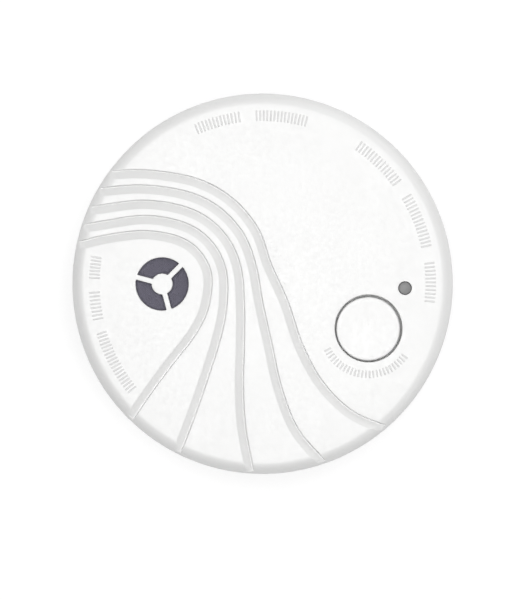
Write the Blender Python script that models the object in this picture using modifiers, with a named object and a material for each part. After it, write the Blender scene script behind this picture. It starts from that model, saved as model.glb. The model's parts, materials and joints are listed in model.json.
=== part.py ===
"""Battery smoke detector, twisted home on its mounting bracket.

Frame: metres. The origin is the centre of the bracket's mounting face, +Z points out of
the ceiling or wall through the front face, and +Y is the top of the face as it is read.
Everything stands at rest: locked on the bracket, test button out.
"""

import math

import bmesh
import bpy
from mathutils import Matrix, Vector

# ---------------------------------------------------------------- driving dimensions

RADIUS = 0.060  # front cover, the widest piece
HEIGHT = 0.036  # mounting face to the middle of the front face
GAP = 0.0003  # between pieces that touch
ROUND = 48  # segments on the big turned pieces
MEDIUM_ROUND = 24  # on the button, the sounder and the smoke chamber
SMALL_ROUND = 12  # on screws, pins and small holes

DOME_DROP = 0.0015  # the front face falls this much from its middle to RADIUS
EDGE_RADIUS = 0.004
COVER_WALL = 0.0024
SKIRT_WALL = 0.002
SKIRT_BOTTOM = 0.0275
POST_RADIUS = 0.0032  # the cover's screw posts
POST_BOTTOM = 0.0106
POST_HOLE = 0.0017

GROOVE_WIDTH = 0.0028
GROOVE_DEPTH = 0.0015
GROOVE_FLOOR_OUTER = 0.0012  # the floor's two sides, from the centre line away from the sounder
GROOVE_FLOOR_INNER = 0.0009
GROOVE_PITCH = 0.00478
FIRST_GROOVE_RADIUS = 0.01455

SOUNDER = Vector((-0.0316, -0.0001, 0.0))
SOUNDER_OPENING = 0.0085
SOUNDER_HUB = 0.0031
SPOKE_WIDTH = 0.0016
SPOKE_ANGLES = (45, 165, 285)
SOUNDER_HOUSING = 0.015
SOUNDER_TOP = 0.031

BUTTON = Vector((0.0332, -0.0142, 0.0))
BUTTON_RADIUS = 0.0098
BUTTON_HOLE = 0.0107
BUTTON_TOP = 0.0353
BUTTON_STEM = 0.0022
WELL_FLOOR = 0.0293  # the well in the cover that the button's spring stands in
WELL_WALL = 0.0015

LIGHT = Vector((0.0448, -0.0014, 0.0))
LIGHT_RADIUS = 0.0019

CHAMBER = Vector((0.010, 0.022, 0.0))
CHAMBER_RADIUS = 0.021
CHAMBER_TOP = 0.0282
VANE_COUNT = 14
OPTICS_HEIGHT = 0.021

BRACKET_RADIUS = 0.057
BRACKET_PLATE = 0.0016
BRACKET_TOP = 0.0048
SCREW_SLOT_REACH = 0.030
SCREW_SLOT_WIDTH = 0.005
SCREW_SLOT_LENGTH = 0.015
CABLE_HOLE = 0.010
COLLAR_INNER = 0.0462
COLLAR_OUTER = 0.048
TAB_REACH = 0.0526
TAB_BOTTOM = 0.0037
OVERLAP = 0.0006  # how far joined shapes reach into each other

CASE_RADIUS = 0.058
CASE_WALL = 0.002
CASE_BOTTOM = 0.0022
CASE_TOP = 0.022
FLOOR_BOTTOM = 0.0052
FLOOR_TOP = 0.007

BAYONET_ANGLES = (90, 210, 330)  # three tabs on the bracket, three lugs on the case
LUG_HALF_ANGLE = 8
LUG_INNER = 0.0494

VENT_INNER = 0.0546
VENT_OUTER = 0.0574
VENT_BOTTOM = 0.0223
VENT_TOP = 0.0283
VENT_WINDOWS = 24

BOARD_RADIUS = 0.053
BOARD_BOTTOM = 0.0133
BOARD_TOP = 0.0149
ON_BOARD = BOARD_TOP + GAP

CELL = Vector((0.0, -0.036, 0.0154))
CELL_RADIUS = 0.0085
CELL_HALF = 0.01725
BAY_HALF_LENGTH = 0.0195
BAY_HALF_WIDTH = 0.0093
BAY_WALL = 0.0015
BAY_ROOF = 0.0263

TAMPER = Vector((-0.009, 0.041, 0.0))
TAMPER_PIN = 0.0018

CASE_SCREWS = ((0.040, 0.022), (-0.027, 0.036), (-0.033, -0.031), (0.028, -0.038))
BOARD_SCREWS = ((-0.012, -0.019), (-0.019, 0.026), (0.038, 0.008))

# Base colour, roughness and metallic value of each finish.
FINISHES = {
    "white_shell": ((0.90, 0.90, 0.89), 0.45, 0.0),
    "white_button": ((0.92, 0.92, 0.91), 0.40, 0.0),
    "dark_mesh": ((0.12, 0.115, 0.15), 0.70, 0.0),
    "black_plastic": ((0.02, 0.02, 0.022), 0.60, 0.0),
    "board": ((0.02, 0.16, 0.07), 0.40, 0.0),
    "steel": ((0.62, 0.62, 0.62), 0.30, 1.0),
    "brass": ((0.80, 0.62, 0.28), 0.30, 1.0),
    "copper": ((0.75, 0.38, 0.22), 0.30, 1.0),
    "ceramic": ((0.86, 0.85, 0.80), 0.50, 0.0),
    "rubber": ((0.05, 0.05, 0.05), 0.80, 0.0),
    "smoky_lens": ((0.28, 0.28, 0.28), 0.20, 0.0),
    "cell_wrap": ((0.70, 0.72, 0.70), 0.35, 0.0),
    "ferrite": ((0.08, 0.08, 0.085), 0.55, 0.0),
}

# Each groove runs from the rim at the left, over an arc about the sounder, down to the
# lower rim. Ends and runs are centre-line points outside that arc, in millimetres, and
# both go past the outline, so that the groove's floor comes out through the round edge.
GROOVE_ARC_ANGLES = (70, 50, 30, 10)
GROOVE_LEFT_ENDS = (
    ((-60.5, 11.2), (-50.0, 13.9)),
    ((-60.5, 16.6), (-50.0, 18.5)),
    ((-60.0, 22.0), (-50.0, 23.6)),
    ((-58.5, 27.8), (-50.0, 29.0)),
    ((-54.5, 33.6), (-48.0, 34.2)),
)
GROOVE_LOWER_RUNS = (
    ((-18.3, -7.4), (-21.9, -15.0), (-30.3, -25.9), (-38.2, -36.8), (-42.6, -43.4)),
    ((-12.5, -7.0), (-14.2, -16.0), (-20.6, -36.0), (-25.8, -50.0), (-28.2, -56.0)),
    ((-7.0, -7.0), (-7.0, -18.0), (-7.3, -32.0), (-6.6, -45.0), (-3.5, -61.5)),
    ((-1.2, -6.0), (1.9, -20.0), (4.7, -32.5), (10.2, -46.4), (20.5, -58.3)),
    ((6.8, -6.0), (11.6, -20.0), (18.3, -32.0), (28.0, -41.3), (42.0, -47.0)),
)
GROOVE_CREST_X = -0.0365  # the groove's top point, just left of the sounder's middle
GROOVE_CREST_RISE = 0.00085  # how far that point lies above the arc's radius

# ---------------------------------------------------------------- scene and placing


def clear_scene():
    for old in list(bpy.data.objects):
        bpy.data.objects.remove(old, do_unlink=True)


def new_collection(name):
    made = bpy.data.collections.new(name)
    bpy.context.scene.collection.children.link(made)
    return made


clear_scene()
PARTS = new_collection("smoke_detector")
CUTTERS = new_collection("cutters")


def motion_axis(name, location, parent=None):
    """An empty on a joint's axis, which carries the pieces that move with it."""
    empty = bpy.data.objects.new(name, None)
    PARTS.objects.link(empty)
    empty.parent = parent
    empty.location = location
    return empty


DETECTOR_AXIS = motion_axis("detector_axis", Vector((0, 0, 0)))
BUTTON_AXIS = motion_axis("button_axis", BUTTON, DETECTOR_AXIS)
TAMPER_AXIS = motion_axis("tamper_axis", TAMPER, DETECTOR_AXIS)


def finish_material(name, finish):
    colour, roughness, metallic = FINISHES[finish]
    material = bpy.data.materials.new(name)
    material.use_nodes = True
    shader = material.node_tree.nodes["Principled BSDF"]
    shader.inputs["Base Color"].default_value = (*colour, 1.0)
    shader.inputs["Roughness"].default_value = roughness
    shader.inputs["Metallic"].default_value = metallic
    return material


def piece(name, data, finish, at=(0, 0, 0), rotation=(0, 0, 0), carrier=DETECTOR_AXIS):
    """A sub-part. Its place is relative to the empty that carries it."""
    made = bpy.data.objects.new(name, data)
    PARTS.objects.link(made)
    data.materials.append(finish_material(name, finish))
    made.parent = carrier
    made.location = at
    made.rotation_euler = rotation
    return made


def helper(name, data, at=(0, 0, 0)):
    """A shape that a Boolean takes away or adds. It isn't a sub-part."""
    made = bpy.data.objects.new(name, data)
    CUTTERS.objects.link(made)
    made.location = at
    made.hide_render = True
    made.display_type = "WIRE"
    return made


# ---------------------------------------------------------------- shapes


def smooth(mesh):
    mesh.shade_smooth()
    mesh.set_sharp_from_angle(angle=math.radians(40))
    return mesh


def cylinder(radius, bottom, top, segments=MEDIUM_ROUND):
    """A cylinder on the Z axis, between two heights."""
    mesh = bpy.data.meshes.new("cylinder")
    shape = bmesh.new()
    bmesh.ops.create_cone(
        shape, cap_ends=True, segments=segments, radius1=radius, radius2=radius, depth=top - bottom
    )
    bmesh.ops.translate(shape, verts=shape.verts, vec=(0, 0, (top + bottom) / 2))
    shape.to_mesh(mesh)
    shape.free()
    return smooth(mesh)


def box(half_x, half_y, bottom, top):
    """A box centred on the Z axis, between two heights."""
    mesh = bpy.data.meshes.new("box")
    shape = bmesh.new()
    bmesh.ops.create_cube(shape, size=1.0)
    bmesh.ops.scale(shape, verts=shape.verts, vec=(2 * half_x, 2 * half_y, top - bottom))
    bmesh.ops.translate(shape, verts=shape.verts, vec=(0, 0, (top + bottom) / 2))
    shape.to_mesh(mesh)
    shape.free()
    return mesh


def outline(points, closed=True):
    """A line of (radius, height) points in the XZ plane, for a Screw modifier."""
    mesh = bpy.data.meshes.new("profile")
    edges = [(i, i + 1) for i in range(len(points) - 1)]
    if closed:
        edges.append((len(points) - 1, 0))
    mesh.from_pydata([(r, 0.0, z) for r, z in points], edges, [])
    return mesh


def ring(inner, outer, bottom, top):
    """The profile of a plain ring, for a Screw modifier."""
    return outline([(outer, top), (outer, bottom), (inner, bottom), (inner, top)])


def turn(target, segments=MEDIUM_ROUND):
    screw = target.modifiers.new("turn", "SCREW")
    screw.steps = segments
    screw.render_steps = segments
    screw.use_merge_vertices = True
    screw.merge_threshold = 0.00001
    return target


def arc(radius, start, end, steps, centre=(0, 0)):
    """Points on an arc, angles in degrees."""
    turns = [math.radians(start + (end - start) * i / steps) for i in range(steps + 1)]
    return [(centre[0] + radius * math.cos(t), centre[1] + radius * math.sin(t)) for t in turns]


def sector(inner, outer, start, end, steps=4):
    """The outline of a piece of a flat ring."""
    return arc(outer, start, end, steps) + arc(inner, end, start, steps)


def stadium(length, width, centre, angle):
    """The outline of a slot with round ends."""
    reach = (length - width) / 2
    local = arc(width / 2, -90, 90, 4, (reach, 0)) + arc(width / 2, 90, 270, 4, (-reach, 0))
    turned = Matrix.Rotation(math.radians(angle), 2)
    return [tuple(turned @ Vector(p) + Vector(centre)) for p in local]


def mesh_of(curve, at=(0, 0, 0)):
    """The closed mesh of a curve, so that it can be cut and joined."""
    holder = bpy.data.objects.new("curve", curve)
    CUTTERS.objects.link(holder)
    holder.location = at
    bpy.context.view_layer.update()
    graph = bpy.context.evaluated_depsgraph_get()
    mesh = bpy.data.meshes.new_from_object(holder.evaluated_get(graph))
    mesh.transform(holder.matrix_world)
    bpy.data.objects.remove(holder)
    shape = bmesh.new()
    shape.from_mesh(mesh)
    bmesh.ops.remove_doubles(shape, verts=shape.verts, dist=0.000001)
    bmesh.ops.recalc_face_normals(shape, faces=shape.faces)
    shape.to_mesh(mesh)
    shape.free()
    mesh.materials.clear()
    return mesh


def plate(loops, bottom, top):
    """Flat outlines, with any holes as further loops, extruded between two heights."""
    curve = bpy.data.curves.new("outline", "CURVE")
    curve.dimensions = "2D"
    curve.fill_mode = "BOTH"
    curve.extrude = (top - bottom) / 2
    for loop in loops:
        spline = curve.splines.new("POLY")
        spline.points.add(len(loop) - 1)
        for point, (x, y) in zip(spline.points, loop):
            point.co = (x, y, 0.0, 1.0)
        spline.use_cyclic_u = True
    return mesh_of(curve, (0, 0, (top + bottom) / 2))


def wire(points, radius):
    """A round wire through a list of points."""
    curve = bpy.data.curves.new("wire", "CURVE")
    curve.dimensions = "3D"
    curve.bevel_depth = radius
    curve.bevel_resolution = 2
    curve.use_fill_caps = True
    spline = curve.splines.new("POLY")
    spline.points.add(len(points) - 1)
    for point, place in zip(spline.points, points):
        point.co = (*place, 1.0)
    return curve


def coil(radius, bottom, top, turns, wire_radius, end_radius=None):
    """A helical spring on the Z axis. A second radius makes it conical."""
    steps_per_turn = 8
    count = round(turns * steps_per_turn)
    low, high = bottom + wire_radius, top - wire_radius
    points = []
    for i in range(count + 1):
        share = i / count
        angle = 2 * math.pi * turns * share
        reach = radius + ((end_radius or radius) - radius) * share
        points.append(
            (reach * math.cos(angle), reach * math.sin(angle), low + (high - low) * share)
        )
    return wire(points, wire_radius)


def join_meshes(meshes):
    """Separate shapes in one mesh, as one cutter for a whole row of cuts."""
    shape = bmesh.new()
    for mesh in meshes:
        shape.from_mesh(mesh)
    joined = bpy.data.meshes.new("row")
    shape.to_mesh(joined)
    shape.free()
    return joined


def shifted(mesh, x, y, angle=0):
    """The mesh moved in X and Y, then turned about Z by an angle in degrees."""
    mesh.transform(Matrix.Rotation(math.radians(angle), 4, "Z") @ Matrix.Translation((x, y, 0)))
    return mesh


def boolean(target, operation, name, data, at=(0, 0, 0)):
    change = target.modifiers.new(name, "BOOLEAN")
    change.operation = operation
    change.object = helper(target.name + "_" + name, data, at)


def unite(target, name, data, at=(0, 0, 0)):
    boolean(target, "UNION", name, data, at)


def subtract(target, name, data, at=(0, 0, 0)):
    boolean(target, "DIFFERENCE", name, data, at)


def soften(target, width, segments=2):
    """Rounds the sharp edges."""
    bevel = target.modifiers.new("soften", "BEVEL")
    bevel.width = width
    bevel.segments = segments
    bevel.limit_method = "ANGLE"
    bevel.angle_limit = math.radians(40)
    return target


# ---------------------------------------------------------------- the front's own surface

EDGE_CENTRE = RADIUS - EDGE_RADIUS
EDGE_SLOPE = math.atan(2 * DOME_DROP * EDGE_CENTRE / RADIUS**2)
EDGE_START = EDGE_CENTRE + EDGE_RADIUS * math.sin(EDGE_SLOPE)


def dome_height(radius):
    return HEIGHT - DOME_DROP * (radius / RADIUS) ** 2


EDGE_CENTRE_HEIGHT = dome_height(EDGE_START) - EDGE_RADIUS * math.cos(EDGE_SLOPE)


def front_height(radius):
    """Height of the outside of the front cover at a distance from its middle."""
    if radius <= EDGE_START:
        return dome_height(radius)
    return EDGE_CENTRE_HEIGHT + math.sqrt(EDGE_RADIUS**2 - (radius - EDGE_CENTRE) ** 2)


def smooth_path(points, steps):
    """A centripetal Catmull-Rom curve through the points."""
    ends = [2 * points[0] - points[1]] + points + [2 * points[-1] - points[-2]]
    knots = [0.0]
    for a, b in zip(ends, ends[1:]):
        knots.append(knots[-1] + math.sqrt((b - a).length))

    def blend(i, j, a, b, t):
        return ((knots[j] - t) * a + (t - knots[i]) * b) / (knots[j] - knots[i])

    path = []
    for i in range(1, len(ends) - 2):
        for step in range(steps):
            t = knots[i] + (knots[i + 1] - knots[i]) * step / steps
            first = blend(i - 1, i, ends[i - 1], ends[i], t)
            middle = blend(i, i + 1, ends[i], ends[i + 1], t)
            last = blend(i + 1, i + 2, ends[i + 1], ends[i + 2], t)
            path.append(
                blend(i, i + 1, blend(i - 1, i + 1, first, middle, t), blend(i, i + 2, middle, last, t), t)
            )
    return path + [points[-1]]


def groove_line(index, steps=2):
    """The centre line of one groove, seen from the front, from past the rim to past the rim."""
    radius = FIRST_GROOVE_RADIUS + index * GROOVE_PITCH
    points = [Vector((x, y)) / 1000 for x, y in GROOVE_LEFT_ENDS[index]]
    points.append(Vector((GROOVE_CREST_X, radius + GROOVE_CREST_RISE)))
    for angle in GROOVE_ARC_ANGLES:
        turned = math.radians(angle)
        points.append(SOUNDER.xy + radius * Vector((math.cos(turned), math.sin(turned))))
    points += [Vector((x, y)) / 1000 for x, y in GROOVE_LOWER_RUNS[index]]
    return smooth_path(points, steps)


def groove_section():
    """The cross-section: a steep outer wall, a narrow floor and a slope up to the inner side.
    Its own +X is the side towards the sounder."""
    lift = 0.0005  # how far the cutter stands above the surface
    half = GROOVE_WIDTH / 2
    outer_flare = (half - GROOVE_FLOOR_OUTER) / GROOVE_DEPTH
    inner_flare = (half + GROOVE_FLOOR_INNER) / GROOVE_DEPTH
    corners = (
        (-GROOVE_FLOOR_OUTER, -GROOVE_DEPTH),
        (-GROOVE_FLOOR_INNER, -GROOVE_DEPTH),
        (half + inner_flare * lift, lift),
        (-half - outer_flare * lift, lift),
    )
    curve = bpy.data.curves.new("groove_section", "CURVE")
    curve.dimensions = "2D"
    spline = curve.splines.new("POLY")
    spline.points.add(len(corners) - 1)
    for point, (x, y) in zip(spline.points, corners):
        point.co = (x, y, 0.0, 1.0)
    spline.use_cyclic_u = True
    return helper("groove_section", curve)


def groove_cutters():
    section = groove_section()
    curve = bpy.data.curves.new("grooves", "CURVE")
    curve.dimensions = "3D"
    curve.twist_mode = "Z_UP"
    curve.bevel_mode = "OBJECT"
    curve.bevel_object = section
    curve.use_fill_caps = True
    for index in range(len(GROOVE_LOWER_RUNS)):
        line = groove_line(index)
        spline = curve.splines.new("POLY")
        spline.points.add(len(line) - 1)
        for point, place in zip(spline.points, line):
            point.co = (place.x, place.y, dome_height(place.length), 1.0)
    return mesh_of(curve)


# ---------------------------------------------------------------- front cover


def sounder_windows():
    """The three openings between the hub and the rim of the sounder grille."""
    loops = []
    for start, end in zip(SPOKE_ANGLES, SPOKE_ANGLES[1:] + (SPOKE_ANGLES[0] + 360,)):
        outer = math.degrees(math.asin(SPOKE_WIDTH / 2 / SOUNDER_OPENING))
        inner = math.degrees(math.asin(SPOKE_WIDTH / 2 / SOUNDER_HUB))
        loops.append(
            arc(SOUNDER_OPENING, start + outer, end - outer, 8)
            + arc(SOUNDER_HUB, end - inner, start + inner, 5)
        )
    return plate(loops, SOUNDER_TOP, HEIGHT + 0.004)


def cover_profile():
    edge = (EDGE_CENTRE, EDGE_CENTRE_HEIGHT)
    outside = [(r, dome_height(r)) for r in (0.0, 0.024, 0.044)]
    outside += arc(EDGE_RADIUS, 90 - math.degrees(EDGE_SLOPE), 0, 4, edge)
    outside.append((RADIUS, SKIRT_BOTTOM))
    inside = [(RADIUS - SKIRT_WALL, SKIRT_BOTTOM)]
    inside += arc(EDGE_RADIUS - SKIRT_WALL, 0, 60, 2, edge)
    inside += [(r, dome_height(r) - COVER_WALL) for r in (0.055, 0.036, 0.0)]
    return outline(outside + inside, closed=False)


def front_cover():
    """The front: a shallow dome with a round edge, grooves, a button well and screw posts."""
    cover = turn(piece("front_cover", cover_profile(), "white_shell"), ROUND)
    above = HEIGHT + 0.002
    well_bottom = WELL_FLOOR - 0.0012
    well_top = HEIGHT - COVER_WALL + 0.0004
    well = cylinder(BUTTON_HOLE + WELL_WALL, well_bottom, well_top)
    unite(cover, "button_well", well, BUTTON)
    hole_bottom, hole_top = POST_BOTTOM - 0.0016, 0.0215
    for number, (x, y) in enumerate(CASE_SCREWS, 1):
        post_top = dome_height(math.hypot(x, y)) - COVER_WALL / 2
        post = cylinder(POST_RADIUS, POST_BOTTOM, post_top, SMALL_ROUND)
        hole = cylinder(POST_HOLE, hole_bottom, hole_top, SMALL_ROUND)
        unite(cover, f"post_{number}", post, (x, y, 0))
        subtract(cover, f"post_hole_{number}", hole, (x, y, 0))
    subtract(cover, "grooves", groove_cutters())
    subtract(cover, "button_hole", cylinder(BUTTON_HOLE, WELL_FLOOR, above), BUTTON)
    stem_hole = cylinder(BUTTON_STEM + 0.0005, well_bottom - 0.0021, WELL_FLOOR + 0.0017, SMALL_ROUND)
    subtract(cover, "stem_hole", stem_hole, BUTTON)
    light_hole = cylinder(LIGHT_RADIUS + GAP, 0.030, above, SMALL_ROUND)
    subtract(cover, "light_hole", light_hole, LIGHT)
    subtract(cover, "sounder_windows", sounder_windows(), SOUNDER)


# ---------------------------------------------------------------- bracket and rear case


def mounting_bracket():
    """A flat disc with a collar, three bayonet tabs with end stops, and slots for screws."""
    chamfer = 0.0006
    disc = outline(
        [
            (0.0, BRACKET_PLATE),
            (BRACKET_RADIUS - chamfer, BRACKET_PLATE),
            (BRACKET_RADIUS, BRACKET_PLATE - chamfer),
            (BRACKET_RADIUS, 0.0),
            (0.0, 0.0),
        ],
        closed=False,
    )
    bracket = turn(piece("mounting_bracket", disc, "white_shell", carrier=None), ROUND)
    into_plate = BRACKET_PLATE - OVERLAP
    into_collar = COLLAR_OUTER - OVERLAP
    collar = turn(helper("collar", ring(COLLAR_INNER, COLLAR_OUTER, into_plate, BRACKET_TOP)), ROUND)
    join = bracket.modifiers.new("collar", "BOOLEAN")
    join.operation = "UNION"
    join.object = collar
    tab_top, stop_top = BRACKET_TOP - 0.0001, BRACKET_TOP - 0.0002
    tab_start, stop_start, stop_end, tab_end = -10, -11.5, -8.8, 9  # degrees from the tab's middle
    stop_reach = TAB_REACH - 0.0002
    for number, angle in enumerate(BAYONET_ANGLES, 1):
        tab = sector(into_collar, TAB_REACH, angle + tab_start, angle + tab_end)
        stop = sector(into_collar, stop_reach, angle + stop_start, angle + stop_end, 2)
        unite(bracket, f"tab_{number}", plate([tab], TAB_BOTTOM, tab_top))
        unite(bracket, f"stop_{number}", plate([stop], into_plate, stop_top))
    loops = [arc(CABLE_HOLE, 0, 337.5, 15)]
    for angle in (0, 90, 180, 270):
        turned = math.radians(angle)
        centre = (SCREW_SLOT_REACH * math.cos(turned), SCREW_SLOT_REACH * math.sin(turned))
        loops.append(stadium(SCREW_SLOT_LENGTH, SCREW_SLOT_WIDTH, centre, angle + 90))
    subtract(bracket, "slots", plate(loops, -0.001, 0.003))


def rear_case():
    """The back shell: a wall and a floor with bayonet lugs, the battery bay and bosses."""
    inner = CASE_RADIUS - CASE_WALL
    chamfer = 0.0006
    shell = outline(
        [
            (0.0, FLOOR_TOP),
            (inner, FLOOR_TOP),
            (inner, CASE_TOP),
            (CASE_RADIUS - chamfer, CASE_TOP),
            (CASE_RADIUS, CASE_TOP - chamfer),
            (CASE_RADIUS, CASE_BOTTOM + chamfer),
            (CASE_RADIUS - chamfer, CASE_BOTTOM),
            (inner, CASE_BOTTOM),
            (inner, FLOOR_BOTTOM),
            (0.0, FLOOR_BOTTOM),
        ],
        closed=False,
    )
    case = turn(piece("rear_case", shell, "white_shell"), ROUND)
    lug_bottom, lug_top = CASE_BOTTOM + 0.0001, CASE_BOTTOM + 0.0011
    for number, angle in enumerate(BAYONET_ANGLES, 1):
        start, end = angle - LUG_HALF_ANGLE, angle + LUG_HALF_ANGLE
        lug = sector(LUG_INNER, inner + OVERLAP, start, end)
        unite(case, f"lug_{number}", plate([lug], lug_bottom, lug_top))
    half_x, half_y = BAY_HALF_LENGTH + BAY_WALL, BAY_HALF_WIDTH + BAY_WALL
    unite(case, "bay", box(half_x, half_y, FLOOR_BOTTOM + 0.0004, BAY_ROOF), (0, CELL.y, 0))

    into_floor = FLOOR_TOP - 0.001
    boss_radius, boss_top = 0.0043, POST_BOTTOM - 0.0004
    standoff_radius, standoff_top = 0.0027, BOARD_BOTTOM - GAP
    for number, (x, y) in enumerate(CASE_SCREWS, 1):
        boss = cylinder(boss_radius, into_floor, boss_top, SMALL_ROUND)
        unite(case, f"screw_boss_{number}", boss, (x, y, 0))
    for number, (x, y) in enumerate(BOARD_SCREWS, 1):
        standoff = cylinder(standoff_radius, into_floor, standoff_top, SMALL_ROUND)
        unite(case, f"standoff_{number}", standoff, (x, y, 0))

    bay_inside = box(BAY_HALF_LENGTH, BAY_HALF_WIDTH, FLOOR_BOTTOM - 0.001, BAY_ROOF - BAY_WALL)
    subtract(case, "bay_inside", bay_inside, (0, CELL.y, 0))
    head_radius, head_floor = 0.0032, 0.0084
    counterbores = []
    holes = []
    for x, y in CASE_SCREWS:
        head_space = cylinder(head_radius, FLOOR_BOTTOM - 0.0012, head_floor, SMALL_ROUND)
        clearance = cylinder(POST_HOLE, head_floor - 0.0009, boss_top + 0.0018, SMALL_ROUND)
        counterbores.append(shifted(head_space, x, y))
        holes.append(shifted(clearance, x, y))
    pilot_radius, pilot_bottom = 0.0013, 0.009
    for x, y in BOARD_SCREWS:
        pilot = cylinder(pilot_radius, pilot_bottom, standoff_top + 0.001, SMALL_ROUND)
        holes.append(shifted(pilot, x, y))
    pin_hole = cylinder(TAMPER_PIN + GAP, FLOOR_BOTTOM - 0.0012, FLOOR_TOP + 0.001, SMALL_ROUND)
    holes.append(shifted(pin_hole, TAMPER.x, TAMPER.y))
    subtract(case, "counterbores", join_meshes(counterbores))
    subtract(case, "screw_holes", join_meshes(holes))


def vent_ring():
    """The slotted band between case and cover where the air comes in, and its insect mesh."""
    band = turn(
        piece("vent_ring", ring(VENT_INNER, VENT_OUTER, VENT_BOTTOM, VENT_TOP), "white_shell"), ROUND
    )
    rail = 0.0012
    window_half_width = 0.0060
    windows = []
    for i in range(VENT_WINDOWS):
        window = box(0.004, window_half_width, VENT_BOTTOM + rail, VENT_TOP - rail)
        windows.append(shifted(window, VENT_OUTER, 0, 360 * i / VENT_WINDOWS))
    subtract(band, "windows", join_meshes(windows))
    mesh_outer = VENT_INNER - 0.0006
    mesh_profile = ring(mesh_outer - 0.0004, mesh_outer, VENT_BOTTOM - 0.001, VENT_TOP)
    turn(piece("vent_mesh", mesh_profile, "dark_mesh"), ROUND)


# ---------------------------------------------------------------- battery


def battery():
    """The cell lying in its bay, with a leaf contact at one end and a cone at the other."""
    nub, nub_radius = 0.0008, 0.003
    edge = 0.0003
    profile = [
        (0.0, CELL_HALF),
        (nub_radius, CELL_HALF),
        (nub_radius, CELL_HALF - nub),
        (CELL_RADIUS - edge, CELL_HALF - nub),
        (CELL_RADIUS, CELL_HALF - nub - edge),
        (CELL_RADIUS, edge - CELL_HALF),
        (CELL_RADIUS - edge, -CELL_HALF),
        (0.0, -CELL_HALF),
    ]
    lying = (0, -math.pi / 2, 0)  # positive end towards -X
    turn(piece("battery_cell", outline(profile, closed=False), "cell_wrap", CELL, lying))

    leaf_half, leaf_back, leaf_thickness = 0.005, BAY_HALF_LENGTH - GAP, 0.0005
    leaf = box(leaf_half, leaf_half, leaf_back - leaf_thickness, leaf_back)
    positive = piece("battery_contact_positive", leaf, "steel", CELL, lying)
    dimple = cylinder(0.0018, CELL_HALF + 0.0004, leaf_back - 0.0002, SMALL_ROUND)
    dimple.transform(Matrix.Translation(CELL) @ Matrix.Rotation(-math.pi / 2, 4, "Y"))
    unite(positive, "dimple", dimple)

    narrow, wide, turns, wire_radius = 0.003, 0.0058, 2.5, 0.00025
    cone = coil(narrow, -leaf_back, -CELL_HALF - GAP, turns, wire_radius, end_radius=wide)
    piece("battery_contact_negative", cone, "steel", CELL, lying)


def battery_cover():
    """The plate that closes the battery bay from the back, with saddles for the cell."""
    top = 0.0062
    half_x, half_y = BAY_HALF_LENGTH - GAP, BAY_HALF_WIDTH - GAP
    lid = box(half_x, half_y, FLOOR_BOTTOM, top)
    cover = piece("battery_cover", lid, "white_shell", (0, CELL.y, 0))
    saddle_half_width, saddle_top, saddle_reach = 0.001, 0.010, 0.010
    saddle = box(saddle_half_width, half_y - 0.001, FLOOR_BOTTOM + 0.0006, saddle_top)
    pair = [shifted(saddle.copy(), x, CELL.y) for x in (-saddle_reach, saddle_reach)]
    unite(cover, "saddles", join_meshes(pair))
    cell_space = cylinder(CELL_RADIUS + 0.0004, -0.030, 0.030)
    cell_space.transform(Matrix.Translation(CELL) @ Matrix.Rotation(math.pi / 2, 4, "Y"))
    subtract(cover, "cell_space", cell_space)
    slot_length, slot_width, slot_depth = 0.012, 0.002, 0.0006
    slot = stadium(slot_length, slot_width, (0, CELL.y), 0)
    subtract(cover, "coin_slot", plate([slot], FLOOR_BOTTOM - 0.001, FLOOR_BOTTOM + slot_depth))


# ---------------------------------------------------------------- circuit board


def circuit_board():
    """A round board with a notch for the battery bay and holes for posts and screws."""
    board = piece("circuit_board", cylinder(BOARD_RADIUS, BOARD_BOTTOM, BOARD_TOP, ROUND), "board")
    below, above = BOARD_BOTTOM - 0.0013, BOARD_TOP + 0.0011
    clear = BAY_WALL + OVERLAP
    notch_depth = 0.02
    notch = box(BAY_HALF_LENGTH + clear, notch_depth, below, above)
    subtract(board, "bay_notch", shifted(notch, 0, CELL.y + BAY_HALF_WIDTH + clear - notch_depth))
    post_hole, screw_hole = POST_RADIUS + 0.0005, 0.0014
    holes = [shifted(cylinder(post_hole, below, above, SMALL_ROUND), x, y) for x, y in CASE_SCREWS]
    holes += [shifted(cylinder(screw_hole, below, above, SMALL_ROUND), x, y) for x, y in BOARD_SCREWS]
    subtract(board, "holes", join_meshes(holes))


def board_components():
    chip_half, chip_top = 0.0035, 0.0162
    chip = box(chip_half, chip_half, ON_BOARD, chip_top)
    soften(piece("microcontroller", chip, "black_plastic", (-0.0075, -0.007, 0)), 0.0001, 1)

    can_top = 0.0174
    can = box(0.008, 0.006, ON_BOARD, can_top)
    soften(piece("radio_module", can, "steel", (0.009, -0.0155, 0)), 0.0003, 1)

    capacitor_radius, capacitor_top = 0.0032, 0.0235
    for number, place in enumerate(((-0.043, -0.020, 0), (-0.036, -0.0215, 0)), 1):
        body = cylinder(capacitor_radius, ON_BOARD, capacitor_top, SMALL_ROUND)
        soften(piece(f"capacitor_{number}", body, "black_plastic", place), 0.0003, 1)

    coil_place = (-0.027, -0.0215, 0)
    flange, neck, flange_height, low, high = 0.005, 0.0034, 0.001, ON_BOARD, 0.0224
    drum = [
        (0.0, high),
        (flange, high),
        (flange, high - flange_height),
        (neck, high - flange_height),
        (neck, low + flange_height),
        (flange, low + flange_height),
        (flange, low),
        (0.0, low),
    ]
    core = piece("sounder_coil_core", outline(drum, closed=False), "ferrite", coil_place)
    turn(core, SMALL_ROUND)
    copper = ring(
        neck + GAP, flange - 0.0004, low + flange_height + GAP, high - flange_height - GAP
    )
    turn(piece("sounder_coil_winding", copper, "copper", coil_place), SMALL_ROUND)

    aerial_reach, aerial_height, aerial_wire = 0.051, 0.0162, 0.0004
    curve = [(x, y, aerial_height) for x, y in arc(aerial_reach, 330, 435, 18)]
    x, y = curve[0][:2]
    foot = [(x, y, ON_BOARD), (x, y, aerial_height - aerial_wire)]
    piece("antenna_wire", wire(foot + curve[1:], aerial_wire), "copper")


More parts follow.
